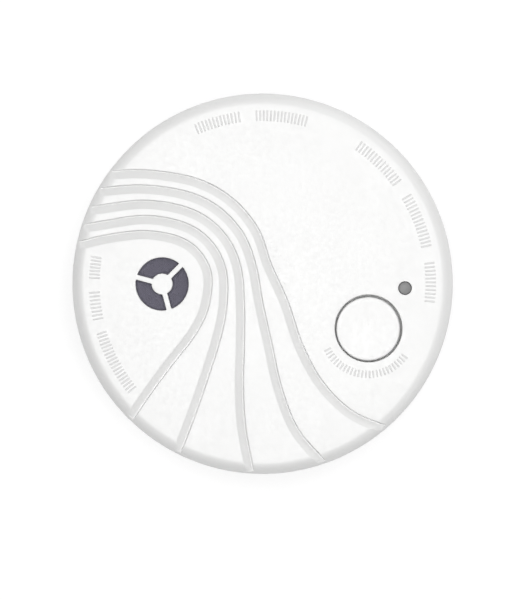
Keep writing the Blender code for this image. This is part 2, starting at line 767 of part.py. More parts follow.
def indicator():
    """The status light on the board, and the pipe that brings it to the front."""
    led_top = 0.0171
    piece("status_led", box(0.0016, 0.0014, ON_BOARD, led_top), "ceramic", LIGHT)
    flange, flange_bottom, flange_top = 0.0032, 0.0312, 0.0323
    foot, foot_radius = led_top + GAP, 0.0015
    chamfer = 0.0002
    top = front_height(LIGHT.length) - 0.0001
    pipe = [
        (0.0, top),
        (LIGHT_RADIUS - chamfer, top),
        (LIGHT_RADIUS, top - chamfer),
        (LIGHT_RADIUS, flange_top),
        (flange, flange_top),
        (flange, flange_bottom),
        (LIGHT_RADIUS, flange_bottom),
        (foot_radius, foot),
        (0.0, foot),
    ]
    turn(piece("light_pipe", outline(pipe, closed=False), "smoky_lens", LIGHT), SMALL_ROUND)


# ---------------------------------------------------------------- test button


def test_button():
    """The push cap on its stem, with its clip, its spring and the switch under it."""
    cap_underside, cap_rim = 0.0333, 0.0314
    skirt_inner = BUTTON_RADIUS - 0.0012
    groove_low, groove_high, groove_radius = 0.0269, 0.0280, 0.0016
    stem_end = 0.0207
    corner = 0.0006
    dish, dish_radius = 0.0003, 0.0055
    cap = [
        (0.0, BUTTON_TOP - dish),
        (dish_radius, BUTTON_TOP - dish * 2 / 3),
        (skirt_inner, BUTTON_TOP),
    ]
    cap += arc(corner, 90, 0, 2, (BUTTON_RADIUS - corner, BUTTON_TOP - corner))
    cap += [
        (BUTTON_RADIUS, cap_rim),
        (skirt_inner, cap_rim),
        (skirt_inner, cap_underside),
        (BUTTON_STEM, cap_underside),
        (BUTTON_STEM, groove_high),
        (groove_radius, groove_high),
        (groove_radius, groove_low),
        (BUTTON_STEM, groove_low),
        (BUTTON_STEM, stem_end),
        (0.0, stem_end),
    ]
    turn(piece("test_button", outline(cap, closed=False), "white_button", carrier=BUTTON_AXIS))
    clip_reach = 0.0042
    clip = ring(groove_radius + GAP, clip_reach, groove_low + GAP, groove_high - GAP)
    turn(piece("button_clip", clip, "steel", carrier=BUTTON_AXIS), SMALL_ROUND)
    spring_radius, spring_turns, spring_wire = 0.005, 3, 0.00035
    spring = coil(
        spring_radius, WELL_FLOOR + GAP, cap_underside - GAP, spring_turns, spring_wire
    )
    piece("button_spring", spring, "steel", BUTTON)

    switch_half, switch_top = 0.0031, 0.0186
    body = box(switch_half, switch_half, ON_BOARD, switch_top)
    body = piece("switch_body", body, "black_plastic", BUTTON)
    plunger_radius, plunger_bottom = 0.0016, 0.0175
    hole = cylinder(plunger_radius + 0.0004, plunger_bottom - 0.0011, switch_top + 0.0014, SMALL_ROUND)
    subtract(body, "plunger_hole", hole, BUTTON)
    plunger = cylinder(plunger_radius, plunger_bottom, stem_end - GAP, SMALL_ROUND)
    piece("switch_plunger", plunger, "rubber", carrier=BUTTON_AXIS)


# ---------------------------------------------------------------- tamper switch


def tamper_switch():
    """The sprung pin that rests on the bracket, and the switch that it works."""
    collar, collar_low, collar_high = 0.0029, FLOOR_TOP + 0.0004, 0.0082
    pin_low, pin_high = BRACKET_PLATE + GAP, 0.0098
    switch_low = 0.0111
    chamfer = 0.0004
    pin = [
        (0.0, pin_high),
        (TAMPER_PIN, pin_high),
        (TAMPER_PIN, collar_high),
        (collar, collar_high),
        (collar, collar_low),
        (TAMPER_PIN, collar_low),
        (TAMPER_PIN, pin_low + chamfer),
        (TAMPER_PIN - chamfer, pin_low),
        (0.0, pin_low),
    ]
    pin = outline(pin, closed=False)
    turn(piece("tamper_plunger", pin, "black_plastic", carrier=TAMPER_AXIS), SMALL_ROUND)
    spring_radius, spring_turns, spring_wire = 0.0024, 2, 0.0002
    spring = coil(spring_radius, collar_high + GAP, switch_low - GAP, spring_turns, spring_wire)
    piece("tamper_spring", spring, "steel", TAMPER)
    half = 0.003
    body = box(half, half, switch_low, BOARD_BOTTOM - GAP)
    piece("tamper_switch", body, "black_plastic", TAMPER)


# ---------------------------------------------------------------- sounder


def sounder():
    """The resonator housing behind the grille, with its piezo disc, contacts and cloth."""
    wall = 0.0015
    inner = SOUNDER_HOUSING - wall
    ledge_low, ledge_high, ledge_inner = 0.0210, 0.0220, 0.012
    mouth = 0.0074
    edge = 0.0006
    housing = [
        (SOUNDER_HOUSING - edge, SOUNDER_TOP),
        (SOUNDER_HOUSING, SOUNDER_TOP - edge),
        (SOUNDER_HOUSING, ON_BOARD),
        (inner, ON_BOARD),
        (inner, ledge_low),
        (ledge_inner, ledge_low),
        (ledge_inner, ledge_high),
        (inner, ledge_high),
        (inner, SOUNDER_TOP - wall),
        (mouth, SOUNDER_TOP - wall),
        (mouth, SOUNDER_TOP),
    ]
    turn(piece("sounder_housing", outline(housing), "black_plastic", SOUNDER))
    gasket_inner, gasket_outer, gasket_top = 0.0091, 0.012, 0.0324
    gasket = ring(gasket_inner, gasket_outer, SOUNDER_TOP + GAP, gasket_top)
    turn(piece("sounder_gasket", gasket, "rubber", SOUNDER))
    cloth = cylinder(gasket_inner - GAP, gasket_top - 0.0003, gasket_top + 0.0001)
    piece("sounder_mesh", cloth, "dark_mesh", SOUNDER)

    disc_radius, disc_high = inner - 0.0004, ledge_low - 0.00035
    disc_low = disc_high - GAP
    piece("piezo_disc", cylinder(disc_radius, disc_low, disc_high), "brass", SOUNDER)
    ceramic_radius, ceramic_high = 0.0085, disc_low - GAP
    ceramic_low = ceramic_high - 0.00025
    ceramic = cylinder(ceramic_radius, ceramic_low, ceramic_high)
    piece("piezo_ceramic", ceramic, "ceramic", SOUNDER)
    retainer = ring(ledge_inner + 0.0002, disc_radius, 0.0186, disc_low - GAP)
    turn(piece("piezo_retainer", retainer, "black_plastic", SOUNDER))
    contact_radius, contact_turns, contact_wire = 0.0012, 2.5, 0.00022
    contacts = ((0.0104, disc_low - GAP), (0.0, ceramic_low - GAP))
    for number, (reach, top) in enumerate(contacts, 1):
        spring = coil(contact_radius, ON_BOARD, top, contact_turns, contact_wire)
        piece(f"sounder_contact_{number}", spring, "steel", SOUNDER + Vector((0, reach, 0)))


# ---------------------------------------------------------------- smoke chamber


def optics(name, angle, base):
    """A lensed optical component that looks at the chamber's middle, and its cradle."""
    reach, radius, half_length = 0.0076, 0.0025, 0.004
    flange, flange_length = 0.0029, 0.0008
    body = [
        (0.0, half_length),
        (radius * 0.6, half_length - 0.0005),
        (radius, half_length - 0.0019),
        (radius, flange_length - half_length),
        (flange, flange_length - half_length),
        (flange, -half_length),
        (0.0, -half_length),
    ]
    turned = math.radians(angle)
    place = CHAMBER + Vector((reach * math.cos(turned), reach * math.sin(turned), OPTICS_HEIGHT))
    looking_in = (0, math.pi / 2, turned + math.pi)
    turn(piece(name, outline(body, closed=False), "smoky_lens", place, looking_in), SMALL_ROUND)
    cradle_bottom, cradle_top = 0.0158, OPTICS_HEIGHT - 0.0006
    cradle = shifted(box(0.002, 0.0032, cradle_bottom, cradle_top), reach, 0, angle)
    unite(base, name + "_cradle", cradle, CHAMBER)
    trough_half_length = half_length + 0.001
    trough = cylinder(radius + GAP, -trough_half_length, trough_half_length, SMALL_ROUND)
    trough.transform(Matrix.Rotation(math.pi / 2, 4, "Y"))
    trough = shifted(trough, reach, 0, angle)
    subtract(base, name + "_trough", trough, CHAMBER + Vector((0, 0, OPTICS_HEIGHT)))


def vane_outline(angle):
    """One bent vane of the labyrinth, which stops light and lets air round it."""
    inner, bend, outer, lean, half = 0.0136, 0.0162, 0.0188, 0.0020, 0.00055
    corners = [
        (inner, -half),
        (bend, lean - half),
        (outer, -half),
        (outer, half),
        (bend, lean + half),
        (inner, half),
    ]
    turned = Matrix.Rotation(math.radians(angle), 2)
    return [tuple(turned @ Vector(corner)) for corner in corners]


def smoke_chamber():
    """The dark labyrinth that smoke drifts into, with its optics and insect screen."""
    floor, rim_top, rim_inner = 0.0166, 0.0182, 0.0196
    base_profile = [
        (0.0, floor),
        (rim_inner, floor),
        (rim_inner, rim_top),
        (CHAMBER_RADIUS, rim_top),
        (CHAMBER_RADIUS, ON_BOARD),
        (0.0, ON_BOARD),
    ]
    base = turn(piece("chamber_base", outline(base_profile, closed=False), "black_plastic", CHAMBER))
    optics("ir_emitter", 205, base)
    optics("photodiode", 335, base)

    lid_bottom = CHAMBER_TOP - 0.0012
    lid = cylinder(CHAMBER_RADIUS - 0.0006, lid_bottom, CHAMBER_TOP)
    labyrinth = piece("chamber_labyrinth", lid, "black_plastic", CHAMBER)
    vanes = [vane_outline(360 * i / VANE_COUNT) for i in range(VANE_COUNT)]
    vane_foot, into_lid = floor + 0.0004, lid_bottom + 0.0005
    unite(labyrinth, "vanes", plate(vanes, vane_foot, into_lid), CHAMBER)
    screen = ring(CHAMBER_RADIUS + GAP, CHAMBER_RADIUS + 0.0007, ON_BOARD, CHAMBER_TOP)
    turn(piece("insect_screen", screen, "steel", CHAMBER))


# ---------------------------------------------------------------- screws


def screw(name, at, head, shank, pointing_up):
    """A pan-head screw on the Z axis with a cross recess. `at` is where head meets shank."""
    head_radius, head_height = head
    shank_radius, shank_length = shank
    crown, drop, point_length, point_radius = 0.0005, 0.0006, 0.0008, 0.0003
    profile = [
        (0.0, head_height),
        (head_radius - crown, head_height),
        (head_radius, head_height - drop),
        (head_radius, 0.0),
        (shank_radius, 0.0),
        (shank_radius, point_length - shank_length),
        (point_radius, -shank_length),
        (0.0, -shank_length),
    ]
    flip = (math.pi, 0, 0) if pointing_up else (0, 0, 0)
    made = turn(piece(name, outline(profile, closed=False), "steel", at, flip), SMALL_ROUND)
    depth = head_height * 0.5
    arm, half_width = head_radius * 0.6, 0.0003
    sign = -1 if pointing_up else 1
    outer_face = at[2] + sign * (head_height + 0.001)
    inner_face = at[2] + sign * (head_height - depth)
    low, high = sorted((outer_face, inner_face))
    place = (at[0], at[1], 0)
    subtract(made, "slot_x", box(arm, half_width, low, high), place)
    subtract(made, "slot_y", box(half_width, arm, low, high), place)


def screws():
    """Four long screws from the back hold the cover, three short ones hold the board."""
    seat = 0.0081
    case_head, case_shank = (0.0028, 0.0017), (0.0014, 0.0125)
    board_head, board_shank = (0.0024, 0.0015), (0.0010, 0.0058)
    for number, (x, y) in enumerate(CASE_SCREWS, 1):
        screw(f"case_screw_{number}", (x, y, seat), case_head, case_shank, True)
    for number, (x, y) in enumerate(BOARD_SCREWS, 1):
        screw(f"board_screw_{number}", (x, y, ON_BOARD), board_head, board_shank, False)


mounting_bracket()
rear_case()
vent_ring()
battery()
battery_cover()
circuit_board()
board_components()
indicator()
test_button()
tamper_switch()
sounder()
smoke_chamber()
screws()
front_cover()
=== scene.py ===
"""Looks of the battery smoke detector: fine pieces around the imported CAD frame, materials,
camera, light and floor. Lengths here are millimetres, and a mesh is scaled when it is made.
"""

import json
import math

import bmesh
import bpy
import numpy as np
from mathutils import Matrix, Vector
from mathutils.geometry import delaunay_2d_cdt


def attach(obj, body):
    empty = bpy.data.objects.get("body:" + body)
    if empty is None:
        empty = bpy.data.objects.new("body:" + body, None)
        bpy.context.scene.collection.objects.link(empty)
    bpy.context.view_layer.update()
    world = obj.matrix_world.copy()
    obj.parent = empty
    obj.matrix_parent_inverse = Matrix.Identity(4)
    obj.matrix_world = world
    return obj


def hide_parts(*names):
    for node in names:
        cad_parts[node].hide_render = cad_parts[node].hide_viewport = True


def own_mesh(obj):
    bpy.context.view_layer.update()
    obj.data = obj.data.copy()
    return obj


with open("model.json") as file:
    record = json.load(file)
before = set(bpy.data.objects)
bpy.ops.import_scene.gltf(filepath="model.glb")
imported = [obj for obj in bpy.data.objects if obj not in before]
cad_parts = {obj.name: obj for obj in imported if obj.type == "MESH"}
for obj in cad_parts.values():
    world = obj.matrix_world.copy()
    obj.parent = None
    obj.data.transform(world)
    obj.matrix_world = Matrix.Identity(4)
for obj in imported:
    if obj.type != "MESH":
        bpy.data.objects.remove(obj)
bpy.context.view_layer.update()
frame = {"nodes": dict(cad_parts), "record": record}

MM = 0.001
MERGED = 2e-6  # metres: points of a cut or joined mesh that lie closer than this become one

# ---- the CAD's own dimensions

RADIUS = 60.0
HEIGHT = 36.0
DOME_DROP = 1.5
EDGE_RADIUS = 4.0
COVER_WALL = 2.4
SKIRT_WALL = 2.0
SKIRT_BOTTOM = 27.5
POST_RADIUS = 3.2
POST_BOTTOM = 10.6
POST_HOLE = 1.7
POST_HOLE_TOP = 21.5

GROOVE_HALF = 1.4
GROOVE_DEPTH = 1.5
GROOVE_FLOOR_OUTER = 1.2
GROOVE_FLOOR_INNER = 0.9
GROOVE_PITCH = 4.78
FIRST_GROOVE_RADIUS = 14.55
GROOVE_CREST_X = -36.5
GROOVE_CREST_RISE = 0.85
GROOVE_ARC_ANGLES = (70, 50, 30, 10)
GROOVE_LEFT_ENDS = (
    ((-60.5, 11.2), (-50.0, 13.9)),
    ((-60.5, 16.6), (-50.0, 18.5)),
    ((-60.0, 22.0), (-50.0, 23.6)),
    ((-58.5, 27.8), (-50.0, 29.0)),
    ((-54.5, 33.6), (-48.0, 34.2)),
)
GROOVE_LOWER_RUNS = (
    ((-18.3, -7.4), (-21.9, -15.0), (-30.3, -25.9), (-38.2, -36.8), (-42.6, -43.4)),
    ((-12.5, -7.0), (-14.2, -16.0), (-20.6, -36.0), (-25.8, -50.0), (-28.2, -56.0)),
    ((-7.0, -7.0), (-7.0, -18.0), (-7.3, -32.0), (-6.6, -45.0), (-3.5, -61.5)),
    ((-1.2, -6.0), (1.9, -20.0), (4.7, -32.5), (10.2, -46.4), (20.5, -58.3)),
    ((6.8, -6.0), (11.6, -20.0), (18.3, -32.0), (28.0, -41.3), (42.0, -47.0)),
)

SOUNDER = np.array((-31.6, -0.1))
SOUNDER_OPENING = 8.35
SOUNDER_HUB = 3.3
SPOKE_HALF = 0.8
SPOKE_ANGLES = (45, 165, 285)

BUTTON = np.array((33.2, -14.2))
BUTTON_RADIUS = 10.0
BUTTON_HOLE = 10.6
BUTTON_SHIFT = 0.11  # the cap sits a little low and left in its hole
BUTTON_TOP = 35.3
BUTTON_STEM = 2.2
WELL_FLOOR = 29.3
WELL_BOTTOM = 28.1
WELL_WALL = 1.5

LIGHT = np.array((44.8, -1.4))
LIGHT_RADIUS = 1.95
LIGHT_GAP = 0.17

# Rows of raised marks near the rim, as (start, end) in degrees.
MARK_SPANS = ((-6, 7), (13, 31), (37, 55), (75, 92), (98, 113), (171, 178), (183, 192), (197, 219))

CASE_SCREWS = np.array(((40.0, 22.0), (-27.0, 36.0), (-33.0, -31.0), (28.0, -38.0)))
VENT_INNER = 54.6
VENT_OUTER = 57.4
VENT_BOTTOM = 22.3
VENT_TOP = 28.3
VENT_WINDOWS = 24

CASE_RADIUS = 58.0
CASE_WALL = 2.0
CASE_BOTTOM = 2.2
CASE_TOP = 22.0
FLOOR_BOTTOM = 5.2
FLOOR_TOP = 7.0
BOARD_SCREWS = np.array(((-12.0, -19.0), (-19.0, 26.0), (38.0, 8.0)))
BAY = np.array((0.0, -36.0))
BAY_HALF = np.array((19.5, 9.3))
BAY_WALL = 1.5
BAY_ROOF = 26.3
TAMPER = np.array((-9.0, 41.0))
TAMPER_HOLE = 2.1
BAYONET_ANGLES = (90, 210, 330)

BRACKET_RADIUS = 57.0
BRACKET_PLATE = 1.6
BRACKET_TOP = 4.8
COLLAR_INNER = 46.2
COLLAR_OUTER = 48.0
TAB_REACH = 52.6

FOOT_ROUND = 0.3
RIM_COUNT = 360  # points round the cover's and the vent ring's rows
OVERLAP = 0.6  # how far joined shapes reach into each other
HEADING_REACH = 0.6  # how far ahead and behind a groove's direction is taken

# ---- the dome's section

EDGE_CENTRE = RADIUS - EDGE_RADIUS
EDGE_SLOPE = math.atan(2 * DOME_DROP * EDGE_CENTRE / RADIUS**2)
EDGE_START = EDGE_CENTRE + EDGE_RADIUS * math.sin(EDGE_SLOPE)


def dome_height(reach):
    return HEIGHT - DOME_DROP * (reach / RADIUS) ** 2


EDGE_HEIGHT = dome_height(EDGE_START) - EDGE_RADIUS * math.cos(EDGE_SLOPE)


def arc(centre, radius, start, end, steps):
    """Points on an arc, angles in degrees."""
    turns = np.radians(np.linspace(start, end, steps + 1))
    return np.column_stack((centre[0] + radius * np.cos(turns), centre[1] + radius * np.sin(turns)))


def circle(centre, radius, count):
    return arc(centre, radius, 0, 360, count)[:-1]


def outside_profile():
    """(distance from the middle, height) along the outside, down to the middle of the foot."""
    dome = [(r, dome_height(r)) for r in np.arange(0.0, EDGE_START, 1.0)]
    edge = arc((EDGE_CENTRE, EDGE_HEIGHT), EDGE_RADIUS, 90 - math.degrees(EDGE_SLOPE), 0, 56)
    foot = arc((RADIUS - FOOT_ROUND, SKIRT_BOTTOM + FOOT_ROUND), FOOT_ROUND, 0, -90, 6)
    return np.vstack((dome, edge, foot, [(RADIUS - SKIRT_WALL / 2, SKIRT_BOTTOM)]))


def inside_profile():
    """The same for the inside, from the middle of the ceiling to the middle of the foot."""
    inner = RADIUS - SKIRT_WALL
    ceiling = [(r, dome_height(r) - COVER_WALL) for r in np.arange(0.0, 55.1, 5.0)]
    edge = arc((EDGE_CENTRE, EDGE_HEIGHT), EDGE_RADIUS - SKIRT_WALL, 60, 0, 8)
    foot = arc((inner + FOOT_ROUND, SKIRT_BOTTOM + FOOT_ROUND), FOOT_ROUND, 180, 270, 4)
    return np.vstack((ceiling, edge, foot, [(RADIUS - SKIRT_WALL / 2, SKIRT_BOTTOM)]))


def distances(path):
    """How far along a path each of its points lies."""
    return np.concatenate(([0.0], np.cumsum(np.hypot(*np.diff(path, axis=0).T))))


def points_at(path, along, places):
    """The points at some places along a path, where along is its distances."""
    return np.column_stack([np.interp(places, along, path[:, k]) for k in (0, 1)])


class Turned:
    """A turned surface unrolled flat: on the sheet, a point's distance from the middle is its
    distance along the profile."""

    def __init__(self, profile):
        self.reach, self.height = profile.T
        self.along = distances(profile)
        self.rising = int(np.argmax(self.reach)) + 1
        self.end = self.along[-1]

    def sheet(self, plan):
        """From places seen from the front to places on the sheet."""
        reach = np.hypot(plan[:, 0], plan[:, 1])
        along = np.interp(reach, self.reach[: self.rising], self.along[: self.rising])
        return plan * (along / np.maximum(reach, 1e-9))[:, None]

    def height_at(self, plan):
        reach = np.hypot(plan[:, 0], plan[:, 1])
        return np.interp(reach, self.reach[: self.rising], self.height[: self.rising])

    def placed(self, plan, drop):
        """Places in space, below the surface by drop."""
        return np.column_stack((plan, self.height_at(plan) - drop))

    def space(self, sheet):
        along = np.hypot(sheet[:, 0], sheet[:, 1])
        reach = np.interp(along, self.along, self.reach)
        plan = sheet * (reach / np.maximum(along, 1e-9))[:, None]
        return np.column_stack((plan, np.interp(along, self.along, self.height)))


# ---- triangulated sheets


def within(points, loop):
    """Which points lie inside a closed loop."""
    x, y = points.T
    inside = np.zeros(len(points), bool)
    for (x0, y0), (x1, y1) in zip(loop, np.roll(loop, -1, 0)):
        spans = (y0 > y) != (y1 > y)
        if y0 != y1:
            inside ^= spans & (x < (x1 - x0) * (y - y0) / (y1 - y0) + x0)
    return inside


class Net:
    """Points and fixed lines on a flat sheet, which become triangles in space."""

    def __init__(self):
        self.flat = []
        self.solid = []
        self.edges = []
        self.count = 0

    def add(self, flat, solid, line=None):
        """Adds points. line is "open" or "closed" where they follow each other."""
        ids = np.arange(self.count, self.count + len(flat))
        self.flat.append(flat)
        self.solid.append(solid)
        self.count += len(flat)
        if line:
            self.edges += list(zip(ids[:-1].tolist(), ids[1:].tolist()))
        if line == "closed":
            self.edges.append((int(ids[-1]), int(ids[0])))
        return ids

    def lay(self, surface, plan, drop=0.0, line=None):
        """Adds points on a surface, or below it by drop."""
        return self.add(surface.sheet(plan), surface.placed(plan, drop), line)

    def triangles(self, holes, rim=None):
        """(points in space, triangles, the place of each added point among them)."""
        flat = np.vstack(self.flat)
        solid = np.vstack(self.solid)
        made = delaunay_2d_cdt([Vector(p) for p in flat.tolist()], self.edges, [], 0, 1e-6, True)
        corners, _, faces, sources = made[:4]
        place = np.full(len(flat), -1)
        points = np.zeros((len(corners), 3))
        for number, source in enumerate(sources):
            if not source:
                raise RuntimeError("two lines of a net cross")
            place[source] = number
            points[number] = solid[source[0]]
        corners = np.array([tuple(c) for c in corners])
        faces = np.array(faces)
        middles = corners[faces].mean(axis=1)
        keep = np.ones(len(faces), bool)
        for hole in holes:
            keep &= ~within(middles, flat[hole])
        if rim is not None:
            keep &= within(middles, flat[rim])
        return points, faces[keep], place


class Shell:
    """Collects points and faces for one closed mesh."""

    def __init__(self):
        self.points = []
        self.faces = []

    def add(self, points, faces=()):
        start = len(self.points)
        self.points += [tuple(p) for p in points]
        self.faces += [tuple(int(i) + start for i in face) for face in faces]
        return start

    def loop(self, plan, height):
        """A closed line at a height, or at one height for each point."""
        heights = np.broadcast_to(height, len(plan))
        start = self.add(np.column_stack((plan, heights)))
        return list(range(start, start + len(plan)))

    def wall(self, one, other):
        for i in range(len(one)):
            j = (i + 1) % len(one)
            self.faces.append((one[i], one[j], other[j], other[i]))

    def walls(self, loops):
        for one, other in zip(loops, loops[1:]):
            self.wall(one, other)

    def cap(self, loop):
        self.faces.append(tuple(loop))

    def skin(self, loops):
        """Walls between the loops, and a cap at both ends."""
        self.walls(loops)
        self.cap(loops[0])
        self.cap(loops[-1])


def shaded(mesh, sharp=35):
    """Smooth shading, with edges sharper than an angle in degrees kept."""
    mesh.shade_smooth()
    mesh.set_sharp_from_angle(angle=math.radians(sharp))
    return mesh


def finished_mesh(name, points, faces, sharp=35):
    """A closed, smooth-shaded mesh from points in millimetres."""
    shape = bmesh.new()
    corners = [shape.verts.new(Vector(p) * MM) for p in points]
    for face in faces:
        if len(set(face)) > 2:
            shape.faces.new([corners[i] for i in face])
    bmesh.ops.remove_doubles(shape, verts=shape.verts, dist=1e-7)
    loose = [v for v in shape.verts if not v.link_faces]
    bmesh.ops.delete(shape, geom=loose, context="VERTS")
    bmesh.ops.recalc_face_normals(shape, faces=shape.faces)
    mesh = bpy.data.meshes.new(name)
    shape.to_mesh(mesh)
    shape.free()
    return shaded(mesh, sharp)


# ---- the grooves


def smooth_path(points, steps):
    """A centripetal Catmull-Rom curve through the points."""
    points = [Vector(p) for p in points]
    ends = [2 * points[0] - points[1]] + points + [2 * points[-1] - points[-2]]
    knots = [0.0]
    for a, b in zip(ends, ends[1:]):
        knots.append(knots[-1] + math.sqrt((b - a).length))

    def blend(i, j, a, b, t):
        return ((knots[j] - t) * a + (t - knots[i]) * b) / (knots[j] - knots[i])

    path = []
    for i in range(1, len(ends) - 2):
        for step in range(steps):
            t = knots[i] + (knots[i + 1] - knots[i]) * step / steps
            first = blend(i - 1, i, ends[i - 1], ends[i], t)
            middle = blend(i, i + 1, ends[i], ends[i + 1], t)
            last = blend(i + 1, i + 2, ends[i + 1], ends[i + 2], t)
            early = blend(i - 1, i + 1, first, middle, t)
            late = blend(i, i + 2, middle, last, t)
            path.append(blend(i, i + 1, early, late, t))
    return np.array([tuple(p) for p in path + [points[-1]]])


def groove_path(index):
    """The centre line of one groove, from past the rim to past the rim."""
    radius = FIRST_GROOVE_RADIUS + index * GROOVE_PITCH
    points = list(GROOVE_LEFT_ENDS[index])
    points.append((GROOVE_CREST_X, radius + GROOVE_CREST_RISE))
    for angle in GROOVE_ARC_ANGLES:
        turned = math.radians(angle)
        points.append(tuple(SOUNDER + radius * np.array((math.cos(turned), math.sin(turned)))))
    points += list(GROOVE_LOWER_RUNS[index])
    return smooth_path(points, 40)


def stations(path):
    """Points along a path, closer together near the rim, and the sideways direction at each."""
    step, rim_step, rim = 0.75, 0.35, 54.5
    along = distances(path)
    places = [0.0]
    while places[-1] < along[-1]:
        place = points_at(path, along, places[-1:])[0]
        places.append(places[-1] + (rim_step if math.hypot(*place) > rim else step))
    places = np.minimum(places, along[-1])[:-1]
    ahead = points_at(path, along, places + HEADING_REACH)
    heading = ahead - points_at(path, along, places - HEADING_REACH)
    heading /= np.hypot(*heading.T)[:, None]
    return points_at(path, along, places), np.column_stack((-heading[:, 1], heading[:, 0]))


def groove_section():
    """(distance outwards from the centre line, depth) across a groove, with rounded corners."""
    corners = [
        (2 * GROOVE_HALF, 0.0),
        (GROOVE_HALF, 0.0, 0.22),
        (GROOVE_FLOOR_OUTER, GROOVE_DEPTH, 0.2),
        (GROOVE_FLOOR_INNER, GROOVE_DEPTH, 0.3),
        (-GROOVE_HALF, 0.0, 0.9),
        (-2 * GROOVE_HALF, 0.0),
    ]
    return rounded(corners, 5)[1:-1]


def groove_strips(net, surface):
    """Adds every groove to the net, and returns points along their centre lines."""
    last_reach = 59.5
    section = groove_section()
    centres = []
    for index in range(len(GROOVE_LOWER_RUNS)):
        middle, sideways = stations(groove_path(index))
        centres.append(middle)
        for out, depth in section:
            line = middle + out * sideways
            reach = np.hypot(*line.T)
            kept = np.flatnonzero(reach < last_reach)
            line = line[kept[0] : kept[-1] + 1].copy()
            reach = np.hypot(*line.T)
            spare = surface.height_at(line) - (dome_height(reach) - depth)
            if depth > 0.01:
                for i in np.flatnonzero(np.sign(spare[:-1]) != np.sign(spare[1:])):
                    share = spare[i] / (spare[i] - spare[i + 1])
                    line[i if share < 0.5 else i + 1] = line[i] + share * (line[i + 1] - line[i])
            reach = np.hypot(*line.T)
            height = np.minimum(surface.height_at(line), dome_height(reach) - depth)
            net.add(surface.sheet(line), np.column_stack((line, height)), "open")
    return np.vstack(centres)


# ---- holes with a rounded lip


def grown(loop, reach):
    """The loop moved outwards by reach."""
    after = np.roll(loop, -1, 0) - loop
    after /= np.hypot(*after.T)[:, None]
    before = np.roll(after, 1, 0)
    normal = np.column_stack((after[:, 1] + before[:, 1], -after[:, 0] - before[:, 0]))
    normal /= np.hypot(*normal.T)[:, None]
    share = normal[:, 0] * after[:, 1] - normal[:, 1] * after[:, 0]
    return loop + normal * (reach / np.maximum(share, 0.5))[:, None]


def lip(net, surface, loop, radius, steps=5):
    """Adds a hole's rounded lip to the net, and returns the ids of its innermost line."""
    ids = None
    for turned in np.linspace(0, math.pi / 2, steps + 1):
        line = grown(loop, radius * (1 - math.sin(turned)))
        ids = net.lay(surface, line, radius * (1 - math.cos(turned)), "closed")
    return ids


def softened(runs, reach, steps=4):
    """A closed loop of runs of points, each corner between two runs rounded off."""
    trimmed = []
    for run in runs:
        along = distances(run)
        inner = along[(along > reach) & (along < along[-1] - reach)]
        places = np.concatenate(([reach], inner, [along[-1] - reach]))
        trimmed.append(points_at(run, along, places))
    loop = []
    for number, run in enumerate(trimmed):
        loop += run.tolist()
        following = trimmed[(number + 1) % len(runs)]
        start, corner, end = run[-1], runs[number][-1], following[0]
        for t in np.linspace(0, 1, steps + 1)[1:-1]:
            loop.append(((1 - t) ** 2 * start + 2 * t * (1 - t) * corner + t**2 * end).tolist())
    return np.array(loop)


def sounder_windows():
    """The three openings between the hub and the rim of the sounder grille."""
    outer = math.degrees(math.asin(SPOKE_HALF / SOUNDER_OPENING))
    inner = math.degrees(math.asin(SPOKE_HALF / SOUNDER_HUB))
    loops = []
    for start in SPOKE_ANGLES:
        end = start + 120
        rim = arc(SOUNDER, SOUNDER_OPENING, start + outer, end - outer, 36)
        hub = arc(SOUNDER, SOUNDER_HUB, end - inner, start + inner, 12)
        runs = [rim, np.array((rim[-1], hub[0])), hub, np.array((hub[-1], rim[0]))]
        loops.append(softened(runs, 0.3))
    return loops


def gaps_to(points, others):
    """How far each point lies from the nearest of the others."""
    gaps = []
    for chunk in np.array_split(points, max(1, len(points) // 500)):
        gaps.append(np.hypot(*(chunk[:, None] - others[None]).transpose(2, 0, 1)).min(axis=1))
    return np.concatenate(gaps)


def apart(points, others, distance):
    """The points that lie further than distance from all the others."""
    return points[gaps_to(points, others) > distance]


def plan_grid(reach, pitch):
    """A triangular grid of points over a disc."""
    rows = np.arange(-reach, reach, pitch * math.sin(math.radians(60)))
    points = []
    for number, y in enumerate(rows):
        xs = np.arange(-reach, reach, pitch) + (number % 2) * pitch / 2
        points.append(np.column_stack((xs, np.full(len(xs), y))))
    points = np.vstack(points)
    return points[np.hypot(*points.T) < reach]


# ---- front cover


